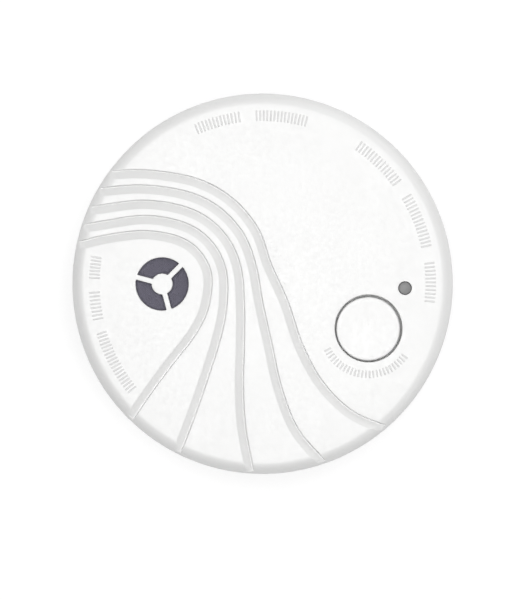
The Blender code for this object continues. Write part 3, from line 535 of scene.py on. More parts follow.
def front_cover_mesh():
    """The grooved front with its rounded edge, skirt, button well, posts and openings."""
    outside, inside = Turned(outside_profile()), Turned(inside_profile())
    windows = sounder_windows()
    button_rim = circle(BUTTON + BUTTON_SHIFT, BUTTON_HOLE, 144)
    light_rim = circle(LIGHT, LIGHT_RADIUS + LIGHT_GAP, 48)

    net = Net()
    centres = groove_strips(net, outside)
    holes = [lip(net, outside, button_rim, 0.3)]
    holes.append(lip(net, outside, light_rim, 0.15))
    holes += [lip(net, outside, window, 0.22) for window in windows]

    lip_points = np.vstack([button_rim, light_rim] + windows)
    plateau_reach, plateau_pitch = 55.4, 1.5
    plateau = apart(plan_grid(plateau_reach, plateau_pitch), centres, GROOVE_HALF + 0.9)
    plateau = apart(plateau, lip_points, 1.2)
    net.lay(outside, plateau)
    strip_end, strip_clear = 59.65, GROOVE_HALF + 0.55
    edge_rows = np.linspace(56.2, outside.end - 1.6, 24)
    foot_rows = np.linspace(outside.end - 1.3, outside.end, 4)
    for along in np.concatenate((edge_rows, foot_rows)):
        row = circle((0, 0), along, RIM_COUNT)
        solid = outside.space(row)
        if along == foot_rows[-1]:
            rim = net.add(row, solid, "closed")
            continue
        beyond = np.hypot(solid[:, 0], solid[:, 1]) > strip_end
        kept = (gaps_to(solid[:, :2], centres) > strip_clear) | beyond
        net.add(row[kept], solid[kept])
    points, faces, place = net.triangles(holes, rim)

    shell = Shell()
    shell.add(points, faces)
    outer_loops = [place[hole].tolist() for hole in holes]

    net = Net()
    well_rim = circle(BUTTON, BUTTON_HOLE + WELL_WALL, 96)
    post_rims = [circle(post, POST_RADIUS, 40) for post in CASE_SCREWS]
    edges = [well_rim, light_rim] + windows + post_rims
    under_holes = [net.lay(inside, loop, line="closed") for loop in edges]
    ceiling_reach, ceiling_pitch, rows_start = 53.0, 4.0, 55.5
    net.lay(inside, apart(plan_grid(ceiling_reach, ceiling_pitch), np.vstack(edges), 1.5))
    rows_along = np.interp(rows_start, inside.reach, inside.along)
    for along in np.linspace(rows_along, inside.end, 12):
        row = circle((0, 0), along, RIM_COUNT)
        under_rim = net.add(row, inside.space(row), "closed" if along == inside.end else None)
    points, faces, place = net.triangles(under_holes, under_rim)
    start = shell.add(points, faces)
    under_loops = [(place[hole] + start).tolist() for hole in under_holes]

    for upper, lower in zip(outer_loops[1:], under_loops[1:]):
        shell.wall(upper, lower)
    button_well(shell, outer_loops[0], button_rim, under_loops[0], well_rim)
    for ceiling_loop, rim_plan, place in zip(under_loops[5:], post_rims, CASE_SCREWS):
        post(shell, ceiling_loop, rim_plan, place)
    return finished_mesh("front_cover_fine", shell.points, shell.faces)


def button_well(shell, hole_loop, hole_plan, ceiling_loop, outer_plan):
    """The cup under the button: its bore, floor, stem hole and outside."""
    floor = shell.loop(hole_plan, WELL_FLOOR)
    stem_plan = circle(BUTTON, BUTTON_STEM + 0.5, len(hole_plan))
    stem_top = shell.loop(stem_plan, WELL_FLOOR)
    shell.walls((hole_loop, floor, stem_top))
    outside = shell.loop(outer_plan, WELL_BOTTOM)
    stem_coarse = circle(BUTTON, BUTTON_STEM + 0.5, len(outer_plan))
    stem_foot = shell.loop(stem_coarse, WELL_BOTTOM)
    shell.walls((ceiling_loop, outside, stem_foot))
    stitch(shell, stem_top, stem_foot)


def stitch(shell, fine, coarse):
    """Joins two circles of 3n and 2n points that start at the same angle."""
    for i in range(len(coarse) // 2):
        f = [fine[(3 * i + k) % len(fine)] for k in range(4)]
        c = [coarse[(2 * i + k) % len(coarse)] for k in range(3)]
        shell.faces += [(f[0], f[1], c[0]), (f[1], c[1], c[0])]
        shell.faces += [(f[1], f[2], c[1]), (f[2], f[3], c[2]), (f[2], c[2], c[1])]


def post(shell, ceiling_loop, rim_plan, place):
    """A screw post under the ceiling, with a chamfered foot and a blind hole."""
    chamfer = 0.3
    shoulder = shell.loop(rim_plan, POST_BOTTOM + chamfer)
    foot = shell.loop(circle(place, POST_RADIUS - chamfer, len(rim_plan)), POST_BOTTOM)
    hole_plan = circle(place, POST_HOLE, len(rim_plan))
    mouth = shell.loop(hole_plan, POST_BOTTOM)
    end = shell.loop(hole_plan, POST_HOLE_TOP)
    shell.walls((ceiling_loop, shoulder, foot, mouth, end))
    shell.cap(end)


# ---- raised marks


def marks_mesh():
    """Plain raised bars on the front, in short rows near the rim and under the button, coloured darker
    than the cover as painted shade.
    """
    bar_half, rise, sunk = 0.27, 0.18, 0.3
    rows = [((0.0, 0.0), 52.9, 1.7, 1.25, span) for span in MARK_SPANS]
    rows.append((BUTTON, 14.3, 1.2, 4.6, (207, 323)))
    shell = Shell()
    for centre, reach, half_length, pitch, (start, end) in rows:
        for angle in np.linspace(start, end, 1 + round((end - start) / pitch)):
            turned = math.radians(angle)
            middle = np.array(centre) + reach * np.array((math.cos(turned), math.sin(turned)))
            plan = stadium(middle, half_length, bar_half, angle)
            loops = []
            for inset, lift in ((0.0, -sunk), (0.0, 0.04), (0.05, 0.11), (0.12, rise)):
                line = grown(plan, -inset)
                loops.append(shell.loop(line, dome_height(np.hypot(*line.T)) + lift))
            shell.skin(loops)
    mesh = finished_mesh("face_marks", shell.points, shell.faces)
    # Painted shade: the bars' plastic is darker than the cover's and stands in for the shade on raised
    # lettering.
    mesh.materials.append(moulded("mark_plastic_painted_shade", (0.68, 0.68, 0.675), 0.55, 2600.0, 1e-5))
    return mesh


# ---- pieces in the scene


def add_piece(name, mesh, slot, body="detector", nodes=()):
    """Puts a piece in the scene on its body, gives it the slot's material unless it has one, and hides
    the CAD nodes it stands for.
    """
    made = bpy.data.objects.new(name, mesh)
    bpy.context.scene.collection.objects.link(made)
    if not mesh.materials:
        mesh.materials.append(MATERIALS[slot])
    if nodes:
        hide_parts(*nodes)
    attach(made, body)
    return made


def turned_mesh(name, profile, centre, segments, sharp=35, closed=False):
    """A lathed mesh. The profile is (radius, height) points, from axis to axis or a closed loop."""
    shell = Shell()
    loops = []
    for radius, height in profile:
        if radius < 1e-6:
            loops.append([shell.add([(centre[0], centre[1], height)])] * segments)
        else:
            loops.append(shell.loop(circle(centre, radius, segments), height))
    pairs = list(zip(loops, loops[1:]))
    if closed:
        pairs.append((loops[-1], loops[0]))
    for one, other in pairs:
        for i in range(segments):
            j = (i + 1) % segments
            face = list(dict.fromkeys((one[i], one[j], other[j], other[i])))
            if len(face) > 2:
                shell.faces.append(tuple(face))
    return finished_mesh(name, shell.points, shell.faces, sharp)


def rounded(points, steps=4):
    """A profile from (x, y) or (x, y, radius) corners, each radius an arc."""
    count = len(points)
    made = []
    for i, point in enumerate(points):
        corner = Vector(point[:2])
        if len(point) < 3 or i in (0, count - 1):
            made.append(tuple(corner))
            continue
        before = (Vector(points[i - 1][:2]) - corner).normalized()
        after = (Vector(points[i + 1][:2]) - corner).normalized()
        half = before.angle(after) / 2
        middle = corner + (before + after).normalized() * point[2] / math.sin(half)
        start = corner + before * point[2] / math.tan(half) - middle
        turn = start.angle_signed(corner + after * point[2] / math.tan(half) - middle)
        for step in range(steps + 1):
            made.append(tuple(middle + Matrix.Rotation(-turn * step / steps, 2) @ start))
    return made


def prism_mesh(name, plan, low, high, soft=0.0):
    """An upright prism over a loop, with the edges of both ends rounded by soft."""
    shell = Shell()
    rows = [(0.0, low), (0.0, high)]
    if soft:
        turns = np.radians(np.linspace(0, 90, 4))
        curve = list(zip(soft * (1 - np.sin(turns)), soft * (1 - np.cos(turns))))
        rows = [(inset, low + rise) for inset, rise in curve]
        rows += [(inset, high - rise) for inset, rise in reversed(curve)]
    shell.skin([shell.loop(grown(plan, -inset), height) for inset, height in rows])
    return finished_mesh(name, shell.points, shell.faces)


def disc_mesh(centre, radius, low, high, segments=48):
    """A plain upright cylinder, as a shape to join or cut."""
    profile = [(0.0, low), (radius, low), (radius, high), (0.0, high)]
    return turned_mesh("disc", profile, centre, segments)


def rounded_box(centre, half, radius):
    """The plan of a box with round corners."""
    corners = np.array(((1, -1), (1, 1), (-1, 1), (-1, -1))) * (half - radius)
    turns = (-90, 0, 90, 180)
    return np.vstack([arc(centre + c, radius, t, t + 90, 8) for c, t in zip(corners, turns)])


def sector(inner, outer, start, end):
    """The plan of a piece of a flat ring."""
    middle = (0.0, 0.0)
    steps = max(2, int(end - start))
    return np.vstack((arc(middle, outer, start, end, steps), arc(middle, inner, end, start, steps)))


def stadium(centre, half_length, half_width, angle):
    """The plan of a slot with round ends."""
    turned = math.radians(angle)
    reach = (half_length - half_width) * np.array((math.cos(turned), math.sin(turned)))
    first = arc(centre + reach, half_width, angle - 90, angle + 90, 14)
    return np.vstack((first, arc(centre - reach, half_width, angle + 90, angle + 270, 14)))


def together(meshes):
    """Separate closed meshes in one."""
    shape = bmesh.new()
    for mesh in meshes:
        shape.from_mesh(mesh)
    mesh = bpy.data.meshes.new("together")
    shape.to_mesh(mesh)
    shape.free()
    return mesh


def solid_mesh(name, base, joins=(), cuts=()):
    """The base mesh with others joined to it, and then others cut from it."""
    collection = bpy.context.scene.collection
    carrier = bpy.data.objects.new(name, base)
    helpers = []
    for operation, meshes in (("UNION", joins), ("DIFFERENCE", cuts)):
        if not meshes:
            continue
        helper = bpy.data.objects.new(name + "_helper", together(meshes))
        helpers.append(helper)
        step = carrier.modifiers.new(operation, "BOOLEAN")
        step.operation = operation
        step.solver = "EXACT"
        step.object = helper
    for made in [carrier] + helpers:
        collection.objects.link(made)
    shaped = carrier.evaluated_get(bpy.context.evaluated_depsgraph_get())
    mesh = bpy.data.meshes.new_from_object(shaped)
    mesh.name = name
    for made in [carrier] + helpers:
        bpy.data.objects.remove(made)
    return mesh


def cleaned(mesh):
    """The mesh in triangles, with no doubled points and no faces without area."""
    shape = bmesh.new()
    shape.from_mesh(mesh)
    bmesh.ops.triangulate(shape, faces=shape.faces)
    bmesh.ops.remove_doubles(shape, verts=shape.verts, dist=MERGED)
    bmesh.ops.dissolve_degenerate(shape, edges=shape.edges, dist=MERGED)
    shape.to_mesh(mesh)
    shape.free()
    return shaded(mesh)


# ---- back case and bracket


def rear_case_mesh():
    """The back shell with rounded edges, bayonet lugs, battery bay, bosses and holes."""
    inner = CASE_RADIUS - CASE_WALL
    profile = [
        (0.0, FLOOR_TOP),
        (inner, FLOOR_TOP, 0.8),
        (inner, CASE_TOP, 0.3),
        (CASE_RADIUS, CASE_TOP, 0.5),
        (CASE_RADIUS, CASE_BOTTOM, 0.8),
        (inner, CASE_BOTTOM, 0.3),
        (inner, FLOOR_BOTTOM, 0.5),
        (0.0, FLOOR_BOTTOM),
    ]
    shell = turned_mesh("rear_case_shell", rounded(profile, 5), (0.0, 0.0), 240)
    lug_half, lug_inner, lug_low, lug_high = 8, 49.4, CASE_BOTTOM + 0.1, CASE_BOTTOM + 1.1
    boss_radius, boss_top, head_radius, head_top, boss_cut = 4.3, 10.2, 3.2, 8.4, 12
    pillar_radius, pillar_top, pillar_hole = 2.7, 13.0, 1.3
    joins = []
    for angle in BAYONET_ANGLES:
        plan = sector(lug_inner, inner + OVERLAP, angle - lug_half, angle + lug_half)
        joins.append(prism_mesh("lug", plan, lug_low, lug_high, 0.2))
    bay = rounded_box(BAY, BAY_HALF + BAY_WALL, 1.5)
    joins.append(prism_mesh("bay", bay, FLOOR_BOTTOM + 0.4, BAY_ROOF, 0.4))
    into_floor = FLOOR_TOP - 1.0
    joins += [disc_mesh(place, boss_radius, into_floor, boss_top) for place in CASE_SCREWS]
    joins += [disc_mesh(place, pillar_radius, into_floor, pillar_top) for place in BOARD_SCREWS]
    below_floor = FLOOR_BOTTOM - 1.2
    bay_inside = rounded_box(BAY, BAY_HALF, 0.8)
    cuts = [prism_mesh("bay_inside", bay_inside, below_floor, BAY_ROOF - BAY_WALL)]
    stepped = [
        (0, below_floor),
        (head_radius, below_floor),
        (head_radius, head_top),
        (POST_HOLE, head_top),
        (POST_HOLE, boss_cut),
        (0, boss_cut),
    ]
    cuts += [turned_mesh("screw_hole", stepped, place, 48) for place in CASE_SCREWS]
    cuts += [disc_mesh(p, pillar_hole, pillar_top - 4.0, pillar_top + 1.0) for p in BOARD_SCREWS]
    cuts.append(disc_mesh(TAMPER, TAMPER_HOLE, below_floor, FLOOR_TOP + 1.0))
    return cleaned(solid_mesh("rear_case_fine", shell, joins, cuts))


def bracket_mesh():
    """The mounting disc with its collar, bayonet tabs, end stops, screw slots and cable hole."""
    profile = [
        (0.0, BRACKET_PLATE),
        (BRACKET_RADIUS, BRACKET_PLATE, 0.6),
        (BRACKET_RADIUS, 0.0, 0.15),
        (0.0, 0.0),
    ]
    disc = turned_mesh("bracket_disc", rounded(profile, 5), (0.0, 0.0), 240)
    low = BRACKET_PLATE - OVERLAP
    collar = rounded(
        [
            (COLLAR_INNER, low),
            (COLLAR_INNER, BRACKET_TOP, 0.25),
            (COLLAR_OUTER, BRACKET_TOP, 0.25),
            (COLLAR_OUTER, low),
        ]
    )
    collar_mesh = turned_mesh("collar", collar, (0.0, 0.0), 240, closed=True)
    base = solid_mesh("bracket_base", disc, [collar_mesh])
    into_collar, tab_bottom = COLLAR_OUTER - OVERLAP, 3.7
    tabs, stops = [], []
    for angle in BAYONET_ANGLES:
        tab = sector(into_collar, TAB_REACH, angle - 10, angle + 8.9)
        tabs.append(prism_mesh("tab", tab, tab_bottom, BRACKET_TOP - 0.1, 0.2))
        stop = sector(into_collar, TAB_REACH - 0.2, angle - 11.5, angle - 8.8)
        stops.append(prism_mesh("stop", stop, low, BRACKET_TOP - 0.2))
    base = solid_mesh("bracket_tabs", base, tabs)
    slot_reach, slot_half_length, slot_half_width, cable_hole = 30.0, 7.5, 2.5, 10.0
    through = (-1.0, 3.0)  # from below the plate to above it
    cuts = [disc_mesh((0.0, 0.0), cable_hole, *through, 96)]
    for angle in (0, 90, 180, 270):
        turned = math.radians(angle)
        centre = slot_reach * np.array((math.cos(turned), math.sin(turned)))
        slot = stadium(centre, slot_half_length, slot_half_width, angle + 90)
        cuts.append(prism_mesh("slot", slot, *through))
    return cleaned(solid_mesh("mounting_bracket_fine", base, stops, cuts))


# ---- vent ring


class Band:
    """The outside of an upright cylinder, unrolled: (distance round it, height)."""

    def __init__(self, radius):
        self.radius = radius

    def sheet(self, places):
        return places

    def placed(self, places, drop):
        """Places in space, nearer to the axis by drop."""
        turned = places[:, 0] / VENT_OUTER
        reach = self.radius - drop
        return np.column_stack((reach * np.cos(turned), reach * np.sin(turned), places[:, 1]))


def vent_window(middle):
    """One window's loop on the band, with round corners."""
    rail, half_width = 1.2, 6.0
    half = VENT_OUTER * math.asin(half_width / VENT_OUTER)
    low, high = VENT_BOTTOM + rail, VENT_TOP - rail
    left, right = middle - half, middle + half
    corners = np.array(((left, low), (right, low), (right, high), (left, high)))
    runs = []
    for one, other in zip(corners, np.roll(corners, -1, 0)):
        count = max(2, int(np.hypot(*(other - one)) / 1.0))
        runs.append(one + (other - one) * np.linspace(0, 1, count + 1)[:, None])
    return softened(runs, 0.9)


def vent_ring_mesh():
    """The slotted band between case and cover, with rounded ribs."""
    length = 2 * math.pi * VENT_OUTER
    pitch = length / VENT_WINDOWS
    windows = [vent_window((i + 0.5) * pitch) for i in range(VENT_WINDOWS)]
    across = np.linspace(0, length, RIM_COUNT + 1)
    rounding = 0.25
    shell = Shell()
    hole_loops = []
    for radius, round_edge in ((VENT_OUTER, rounding), (VENT_INNER, 0.0)):
        band = Band(radius)
        net = Net()
        steps = 4 if round_edge else 0
        for turned in np.linspace(0, math.pi / 2, steps + 1):
            inset, drop = round_edge * (1 - math.sin(turned)), round_edge * (1 - math.cos(turned))
            for edge, sign in ((VENT_BOTTOM, 1), (VENT_TOP, -1)):
                row = np.column_stack((across, np.full(len(across), edge + sign * inset)))
                net.lay(band, row, drop, "open")
        holes = []
        for window in windows:
            if round_edge:
                holes.append(lip(net, band, window, round_edge, steps))
            else:
                holes.append(net.lay(band, window, line="closed"))
        for side in (0.0, length):
            places = np.linspace(VENT_BOTTOM, VENT_TOP, 9)[1:-1]
            net.lay(band, np.column_stack((np.full(len(places), side), places)))
        points, faces, place = net.triangles(holes)
        start = shell.add(points, faces)
        hole_loops.append([(place[hole] + start).tolist() for hole in holes])
    for outer, inner in zip(*hole_loops):
        shell.wall(outer, inner)
    turns = across[:-1] / VENT_OUTER
    for height in (VENT_BOTTOM, VENT_TOP):
        loops = []
        for reach in (VENT_OUTER - rounding, VENT_INNER):
            plan = reach * np.column_stack((np.cos(turns), np.sin(turns)))
            loops.append(shell.loop(plan, height))
        shell.wall(*loops)
    return finished_mesh("vent_ring_fine", shell.points, shell.faces)


# ---- woven screens and springs


def tube(shell, path, upright, radius, sides=4, closed=False):
    """A round wire along a path. upright is the direction of one side at each point."""
    heading = np.gradient(path, axis=0)
    if closed:
        heading = np.roll(path, -1, 0) - np.roll(path, 1, 0)
    across = np.cross(heading, upright)
    across /= np.linalg.norm(across, axis=1)[:, None]
    lift = np.cross(across, heading)
    lift /= np.linalg.norm(lift, axis=1)[:, None]
    loops = []
    for centre, a, b in zip(path, across, lift):
        turns = 2 * math.pi * (np.arange(sides) + 0.5) / sides
        ring = centre + radius * (np.outer(np.cos(turns), a) + np.outer(np.sin(turns), b))
        start = shell.add(ring)
        loops.append(list(range(start, start + sides)))
    if closed:
        shell.walls(loops + loops[:1])
    else:
        shell.skin(loops)


def woven_disc(shell, centre, radius, height, pitch, wire):
    """A plain weave of round wires in a disc."""
    count = int(radius / pitch)
    rows = pitch * np.arange(-count, count + 1)
    for direction in (0, 1):
        for number, offset in enumerate(rows):
            half = math.sqrt(max(radius**2 - offset**2, 0.0))
            if half < pitch:
                continue
            places = np.arange(-half, half, pitch / 2)
            phase = math.pi * (number + direction) + math.pi * places / pitch
            wave = wire * np.cos(phase + math.pi * count)
            path = np.zeros((len(places), 3))
            path[:, direction] = places + centre[direction]
            path[:, 1 - direction] = offset + centre[1 - direction]
            path[:, 2] = height + wave
            upright = np.tile((0.0, 0.0, 1.0), (len(path), 1))
            tube(shell, path, upright, wire)


def woven_band(name, centre, radius, low, high, count, wire):
    """A plain weave of round wires rolled into an upright cylinder, count wires round it."""
    shell = Shell()
    pitch = 2 * math.pi * radius / count
    low, high = low + wire, high - wire
    rings = max(2, round((high - low) / pitch)) + 1
    heights = np.linspace(low, high, rings)
    turns = 2 * math.pi * np.arange(count) / count
    samples = 2 * math.pi * np.arange(2 * count) / (2 * count)
    for number, height in enumerate(heights):
        reach = radius + wire * np.cos(samples * count + math.pi * number)
        radial = np.column_stack((np.cos(samples), np.sin(samples), np.zeros(len(samples))))
        path = radial * reach[:, None] + (*centre, height)
        tube(shell, path, radial, wire, closed=True)
    step = (high - low) / (rings - 1)
    places = np.arange(low, high + step / 4, step / 2)
    for number, turned in enumerate(turns):
        radial = np.array((math.cos(turned), math.sin(turned), 0.0))
        wave = -wire * np.cos(math.pi * (places - low) / step)
        path = np.outer(radius + wave, radial) + (*centre, 0.0)
        path[:, 2] += places
        tube(shell, path, np.tile(radial, (len(path), 1)), wire)
    return finished_mesh(name, shell.points, shell.faces, 80)


def spring_mesh(name, centre, radius, low, high, turns, wire):
    """A compression spring on an upright axis, with a flat turn at each end."""
    low, high = low + wire, high - wire
    flat_turns = 0.8
    total = turns + 2 * flat_turns
    share = np.linspace(0, total, int(total * 28))
    rise = np.clip((share - flat_turns) / turns, 0, 1)
    base, top = low + 2.1 * wire, high - 2.1 * wire
    height = np.where(
        share < flat_turns, low + (base - low) * share / flat_turns, base + (top - base) * rise
    )
    late = share > total - flat_turns
    height = np.where(late, top + (high - top) * (share - total + flat_turns) / flat_turns, height)
    turned = 2 * math.pi * share
    path = np.column_stack((radius * np.cos(turned), radius * np.sin(turned), height))
    path[:, :2] += centre
    upright = np.tile((0.0, 0.0, 1.0), (len(path), 1))
    shell = Shell()
    tube(shell, path, upright, wire, sides=10)
    return finished_mesh(name, shell.points, shell.faces, 60)


# ---- materials


class Recipe:
    """A node material. Its textures are solid, in metres, so they need no unwrapping."""

    def __init__(self, name, roughness, metallic=0.0, **sockets):
        self.material = bpy.data.materials.new(name)
        self.material.use_nodes = True
        self.tree = self.material.node_tree
        self.shader = self.tree.nodes["Principled BSDF"]
        self.place = self.node("ShaderNodeTexCoord").outputs["Object"]
        self.normal = None
        self.shader.inputs["Roughness"].default_value = roughness
        self.shader.inputs["Metallic"].default_value = metallic
        for socket, value in sockets.items():
            self.shader.inputs[socket.replace("_", " ")].default_value = value

    def node(self, kind, **settings):
        made = self.tree.nodes.new(kind)
        for name, value in settings.items():
            setattr(made, name, value)
        return made

    def link(self, source, target):
        self.tree.links.new(source, target)

    def noise(self, scale, detail=3.0, stretch=(1.0, 1.0, 1.0)):
        mapping = self.node("ShaderNodeMapping")
        mapping.inputs["Scale"].default_value = stretch
        self.link(self.place, mapping.inputs["Vector"])
        made = self.node("ShaderNodeTexNoise")
        made.inputs["Scale"].default_value = scale
        made.inputs["Detail"].default_value = detail
        self.link(mapping.outputs["Vector"], made.inputs["Vector"])
        return made.outputs["Fac"]

    def axis(self, name):
        split = self.node("ShaderNodeSeparateXYZ")
        self.link(self.place, split.inputs["Vector"])
        return split.outputs[name]

    def ranged(self, source, low, high, start=0.3, end=0.7):
        """The source's stretch from start to end, spread from low to high."""
        made = self.node("ShaderNodeMapRange")
        for socket, value in {"From Min": start, "From Max": end, "To Min": low, "To Max": high}.items():
            made.inputs[socket].default_value = value
        self.link(source, made.inputs["Value"])
        return made.outputs["Result"]

    def blend(self, factor, first, second):
        """A colour between two, each of them a colour or another node's output."""
        made = self.node("ShaderNodeMix", data_type="RGBA")
        self.link(factor, made.inputs["Factor"])
        for socket, colour in ((made.inputs[6], first), (made.inputs[7], second)):
            if isinstance(colour, tuple):
                socket.default_value = (*colour, 1.0)
            else:
                self.link(colour, socket)
        return made.outputs[2]

    def colour(self, source):
        self.link(source, self.shader.inputs["Base Color"])

    def mottled(self, colour, share, scale=60.0):
        """The colour, a little darker and lighter in soft patches."""
        dark = tuple(c * (1 - share) for c in colour)
        light = tuple(min(1.0, c * (1 + share)) for c in colour)
        return self.blend(self.ranged(self.noise(scale), 0.0, 1.0), dark, light)

    def gloss(self, source, low, high):
        self.link(self.ranged(source, low, high), self.shader.inputs["Roughness"])

    def relief(self, source, height):
        """Adds bumps of a height in metres."""
        made = self.node("ShaderNodeBump")
        made.inputs["Distance"].default_value = height
        self.link(source, made.inputs["Height"])
        if self.normal:
            self.link(self.normal, made.inputs["Normal"])
        self.normal = made.outputs["Normal"]
        self.link(self.normal, self.shader.inputs["Normal"])


def moulded(name, colour, roughness, spark=3400.0, height=7e-6, **sockets):
    """Satin moulded plastic: fine spark-eroded grain, faint flow patches and soft sink marks."""
    made = Recipe(name, roughness, **sockets)
    made.colour(made.mottled(colour, 0.012))
    made.gloss(made.noise(900.0), roughness - 0.05, roughness + 0.05)
    made.relief(made.noise(28.0, 1.0), 4e-5)
    made.relief(made.noise(spark, 2.0), height)
    return made.material


def metal(name, colour, roughness, stretch=(1.0, 1.0, 0.05), **sockets):
    """Drawn or rolled metal: fine lines one way, with patches of duller plating."""
    made = Recipe(name, roughness, 1.0, **sockets)
    made.colour(made.mottled(colour, 0.07, 350.0))
    made.gloss(made.noise(700.0, 4.0), roughness - 0.08, roughness + 0.12)
    made.relief(made.noise(9000.0, 2.0, stretch), 4e-6)
    return made.material


def granular(name, colour, roughness, share, scale, height, **sockets):
    """A sintered, cast or fibrous surface: speckled colour with a matching relief."""
    made = Recipe(name, roughness, **sockets)
    made.colour(made.mottled(colour, share, scale))
    made.gloss(made.noise(scale / 2), roughness - 0.06, roughness + 0.06)
    made.relief(made.noise(scale, 4.0), height)
    return made.material


def board_material():
    """Green solder mask over a net of copper runs, with a glass weave under it."""
    made = Recipe("circuit_board", 0.35, Coat_Weight=0.4, Coat_Roughness=0.15)
    runs = made.node("ShaderNodeTexBrick", offset=0.5)
    runs.inputs["Scale"].default_value = 170.0
    runs.inputs["Mortar Size"].default_value = 0.05
    made.link(made.place, runs.inputs["Vector"])
    mask = made.mottled((0.014, 0.13, 0.055), 0.12, 500.0)
    made.colour(made.blend(runs.outputs["Fac"], mask, (0.05, 0.27, 0.11)))
    made.relief(runs.outputs["Fac"], 2e-5)
    made.relief(made.noise(2600.0), 6e-6)
    return made.material


def cell_material():
    """The printed shrink sleeve of the cell: a dark band at one end and satin silver along it."""
    made = Recipe("cell_wrap", 0.35, Coat_Weight=0.5, Coat_Roughness=0.1)
    band = made.ranged(made.axis("X"), 0.0, 1.0, 0.0052, 0.0054)
    silver = made.mottled((0.66, 0.68, 0.67), 0.03, 200.0)
    made.colour(made.blend(band, silver, (0.03, 0.035, 0.05)))
    made.gloss(made.noise(350.0), 0.28, 0.42)
    made.relief(made.noise(90.0, 2.0), 3e-5)
    return made.material


MATERIALS = {
    "white_plastic": moulded("white_plastic", (0.74, 0.74, 0.735), 0.45, Specular_IOR_Level=0.86),
    "button_plastic": moulded(
        "button_plastic", (0.74, 0.74, 0.735), 0.42, 4200.0, 5e-6, Specular_IOR_Level=0.75
    ),
    "black_plastic": moulded("black_plastic", (0.02, 0.02, 0.022), 0.55, 2600.0, 1e-5),
    "light_pipe": moulded("light_pipe", (0.165, 0.165, 0.165), 0.42, 5000.0, 2e-6),
    "dark_lens": moulded("dark_lens", (0.05, 0.04, 0.06), 0.15, 5000.0, 2e-6, Coat_Weight=0.6),
    "dark_mesh": granular("dark_mesh", (0.12, 0.115, 0.14), 0.6, 0.15, 4000.0, 5e-6),
    "sounder_cloth": granular("sounder_cloth", (0.148, 0.141, 0.182), 0.8, 0.18, 5200.0, 1e-5),
    "circuit_board": board_material(),
    "steel": metal("steel", (0.62, 0.62, 0.62), 0.3, Anisotropic=0.3),
    "brass": metal("brass", (0.80, 0.62, 0.28), 0.3, (1.0, 0.05, 1.0)),
    "copper": metal("copper", (0.75, 0.38, 0.22), 0.3, (0.1, 0.1, 1.0)),
    "ceramic": granular("ceramic", (0.86, 0.85, 0.80), 0.5, 0.04, 2500.0, 8e-6),
    "ferrite": granular("ferrite", (0.08, 0.08, 0.085), 0.55, 0.25, 6000.0, 1e-5),
    "rubber": granular("rubber", (0.05, 0.05, 0.05), 0.8, 0.12, 1800.0, 1.2e-5),
    "cell_wrap": cell_material(),
}

slot_of = {part["node"]: part["material_slot"] for part in frame["record"]["subparts"]}
for node, shown in frame["nodes"].items():
    for holder in shown.material_slots:
        holder.material = MATERIALS[slot_of[node]]

# ---- build

add_piece("cover_front", front_cover_mesh(), "white_plastic", nodes=("front_cover",))


def test_button_mesh():
    """The push cap with its dished top, thin skirt and stem."""
    wall, dishing = BUTTON_RADIUS - 1.2, 0.3
    skirt_bottom, underside, stem_bottom = 31.4, 33.3, 20.7
    neck, neck_top, neck_bottom = 1.6, 28.0, 26.9  # where the clip sits
    reaches = np.linspace(0, wall - 0.3, 12)
    dish = [(r, BUTTON_TOP - dishing * (1 - (r / wall) ** 2)) for r in reaches]
    below = [
        (wall, BUTTON_TOP, 0.6),
        (BUTTON_RADIUS, BUTTON_TOP, 0.45),
        (BUTTON_RADIUS, skirt_bottom, 0.25),
        (wall, skirt_bottom, 0.25),
        (wall, underside, 0.5),
        (BUTTON_STEM, underside, 0.5),
        (BUTTON_STEM, neck_top),
        (neck, neck_top),
        (neck, neck_bottom),
        (BUTTON_STEM, neck_bottom),
        (BUTTON_STEM, stem_bottom, 0.3),
        (0.0, stem_bottom),
    ]
    return turned_mesh("test_button_fine", dish + rounded([dish[-1]] + below, 5)[1:], BUTTON, 144)


def light_pipe_mesh():
    """The smoky rod that brings the status light to the front, with a slightly domed end."""
    top = dome_height(float(np.hypot(*LIGHT)))
    domed, foot, foot_height = 1.7, 1.5, 17.4
    flange, flange_top, flange_bottom = 3.2, 32.3, 31.2
    end = [(r, top - 0.02 - 0.16 * (r / domed) ** 2) for r in np.linspace(0, domed, 8)]
    side = [
        (LIGHT_RADIUS, top - 0.22, 0.1),
        (LIGHT_RADIUS, flange_top, 0.1),
        (flange, flange_top, 0.15),
        (flange, flange_bottom, 0.15),
        (LIGHT_RADIUS, flange_bottom, 0.1),
        (foot, foot_height, 0.1),
        (0.0, foot_height),
    ]
    return turned_mesh("light_pipe_fine", end + rounded([end[-1]] + side)[1:], LIGHT, 64)


def sounder_cloth_mesh():
    """The woven cloth over the sounder, on its thin backing felt."""
    height, pitch, wire = 32.35, 0.36, 0.075
    shell = Shell()
    woven_disc(shell, SOUNDER, 8.7, height, pitch, wire)
    felt = circle(SOUNDER, 8.8, 72)
    shell.skin([shell.loop(felt, 32.12), shell.loop(felt, 32.22)])
    return finished_mesh("sounder_cloth_fine", shell.points, shell.faces, 80)


add_piece("cover_marks", marks_mesh(), "white_plastic")
add_piece("back_case", rear_case_mesh(), "white_plastic", nodes=("rear_case",))
add_piece("ceiling_bracket", bracket_mesh(), "white_plastic", "bracket", ("mounting_bracket",))
add_piece("push_button", test_button_mesh(), "button_plastic", "button", ("test_button",))
add_piece("status_light", light_pipe_mesh(), "light_pipe", nodes=("light_pipe",))
add_piece("air_vent", vent_ring_mesh(), "white_plastic", nodes=("vent_ring",))
add_piece(
    "air_vent_screen",
    woven_band("vent_mesh_fine", (0.0, 0.0), 53.8, 21.3, 28.3, 300, 0.1),
    "dark_mesh",
    nodes=("vent_mesh",),
)
add_piece("sounder_cloth_disc", sounder_cloth_mesh(), "sounder_cloth", nodes=("sounder_mesh",))

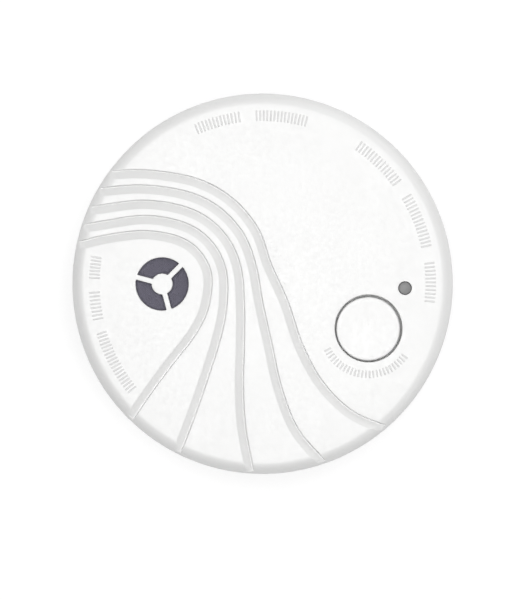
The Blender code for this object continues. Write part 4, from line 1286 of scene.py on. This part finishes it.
button_spring = add_piece(
    "button_return_spring",
    spring_mesh("button_spring_fine", BUTTON, 5.0, 29.6, 33.0, 2.4, 0.3),
    "steel",
    nodes=("button_spring",),
)
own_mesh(button_spring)
tamper_spring = add_piece(
    "tamper_return_spring",
    spring_mesh("tamper_spring_fine", TAMPER, 2.4, 8.5, 10.8, 1.4, 0.18),
    "steel",
    nodes=("tamper_spring",),
)
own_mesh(tamper_spring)

# ---- camera, light and floor

VIEW_WIDTH = 167.51  # across the plane of the cover's widest part
VIEW_MIDDLE = (0.915, -5.126)
CAMERA_DISTANCE = 1500.0

camera = bpy.data.cameras.new("camera")
camera.sensor_fit = "HORIZONTAL"
camera.sensor_width = 36.0
camera.lens = camera.sensor_width * CAMERA_DISTANCE / VIEW_WIDTH
camera.clip_start = 0.05
camera.clip_end = 20.0
viewer = bpy.data.objects.new("camera", camera)
viewer.location = Vector((*VIEW_MIDDLE, EDGE_HEIGHT + CAMERA_DISTANCE)) * MM
bpy.context.scene.collection.objects.link(viewer)
bpy.context.scene.camera = viewer


def softbox(name, place, size, watts):
    """A square area light that faces the object."""
    light = bpy.data.lights.new(name, "AREA")
    light.shape = "SQUARE"
    light.size = size
    light.energy = watts
    lamp = bpy.data.objects.new(name, light)
    lamp.location = place
    lamp.rotation_euler = (-Vector(place)).to_track_quat("-Z", "Y").to_euler()
    bpy.context.scene.collection.objects.link(lamp)


def around(azimuth, tilt, distance):
    """A place by compass direction and tilt from the vertical, in metres from the object."""
    turned, tilted = math.radians(azimuth), math.radians(tilt)
    across = distance * math.sin(tilted)
    return across * math.cos(turned), across * math.sin(turned), distance * math.cos(tilted)


softbox("overhead_panel", (0.0, 0.0, 2.0), 1.2, 34.5)
softbox("key_light", around(55, 58, 1.6), 1.1, 7.6)
softbox("fill_light_left", around(145, 60, 1.6), 0.6, 2.5)
softbox("fill_light_right", around(325, 60, 1.6), 0.6, 2.5)
softbox("fill_light_below", around(235, 60, 1.6), 0.6, 1.5)
world = bpy.data.worlds.new("studio")
bpy.context.scene.world = world
world.use_nodes = True
background = world.node_tree.nodes["Background"]
background.inputs["Color"].default_value = (1.0, 1.0, 1.0, 1.0)
background.inputs["Strength"].default_value = 0.03

FLOOR_HALF = 3.0  # metres
floor_mesh = bpy.data.meshes.new("floor")
floor_corners = [(x * FLOOR_HALF, y * FLOOR_HALF, 0) for x, y in ((-1, -1), (1, -1), (1, 1), (-1, 1))]
floor_mesh.from_pydata(floor_corners, [], [(0, 1, 2, 3)])
floor = bpy.data.objects.new("floor", floor_mesh)
floor.location.z = -0.05 * MM
bpy.context.scene.collection.objects.link(floor)
paper = Recipe("floor_paper", 0.9, Emission_Color=(1.0, 1.0, 1.0, 1.0), Emission_Strength=0.68)
paper.shader.inputs["Base Color"].default_value = (0.35, 0.35, 0.35, 1.0)
floor_mesh.materials.append(paper.material)

bpy.context.scene.view_settings.view_transform = "Standard"
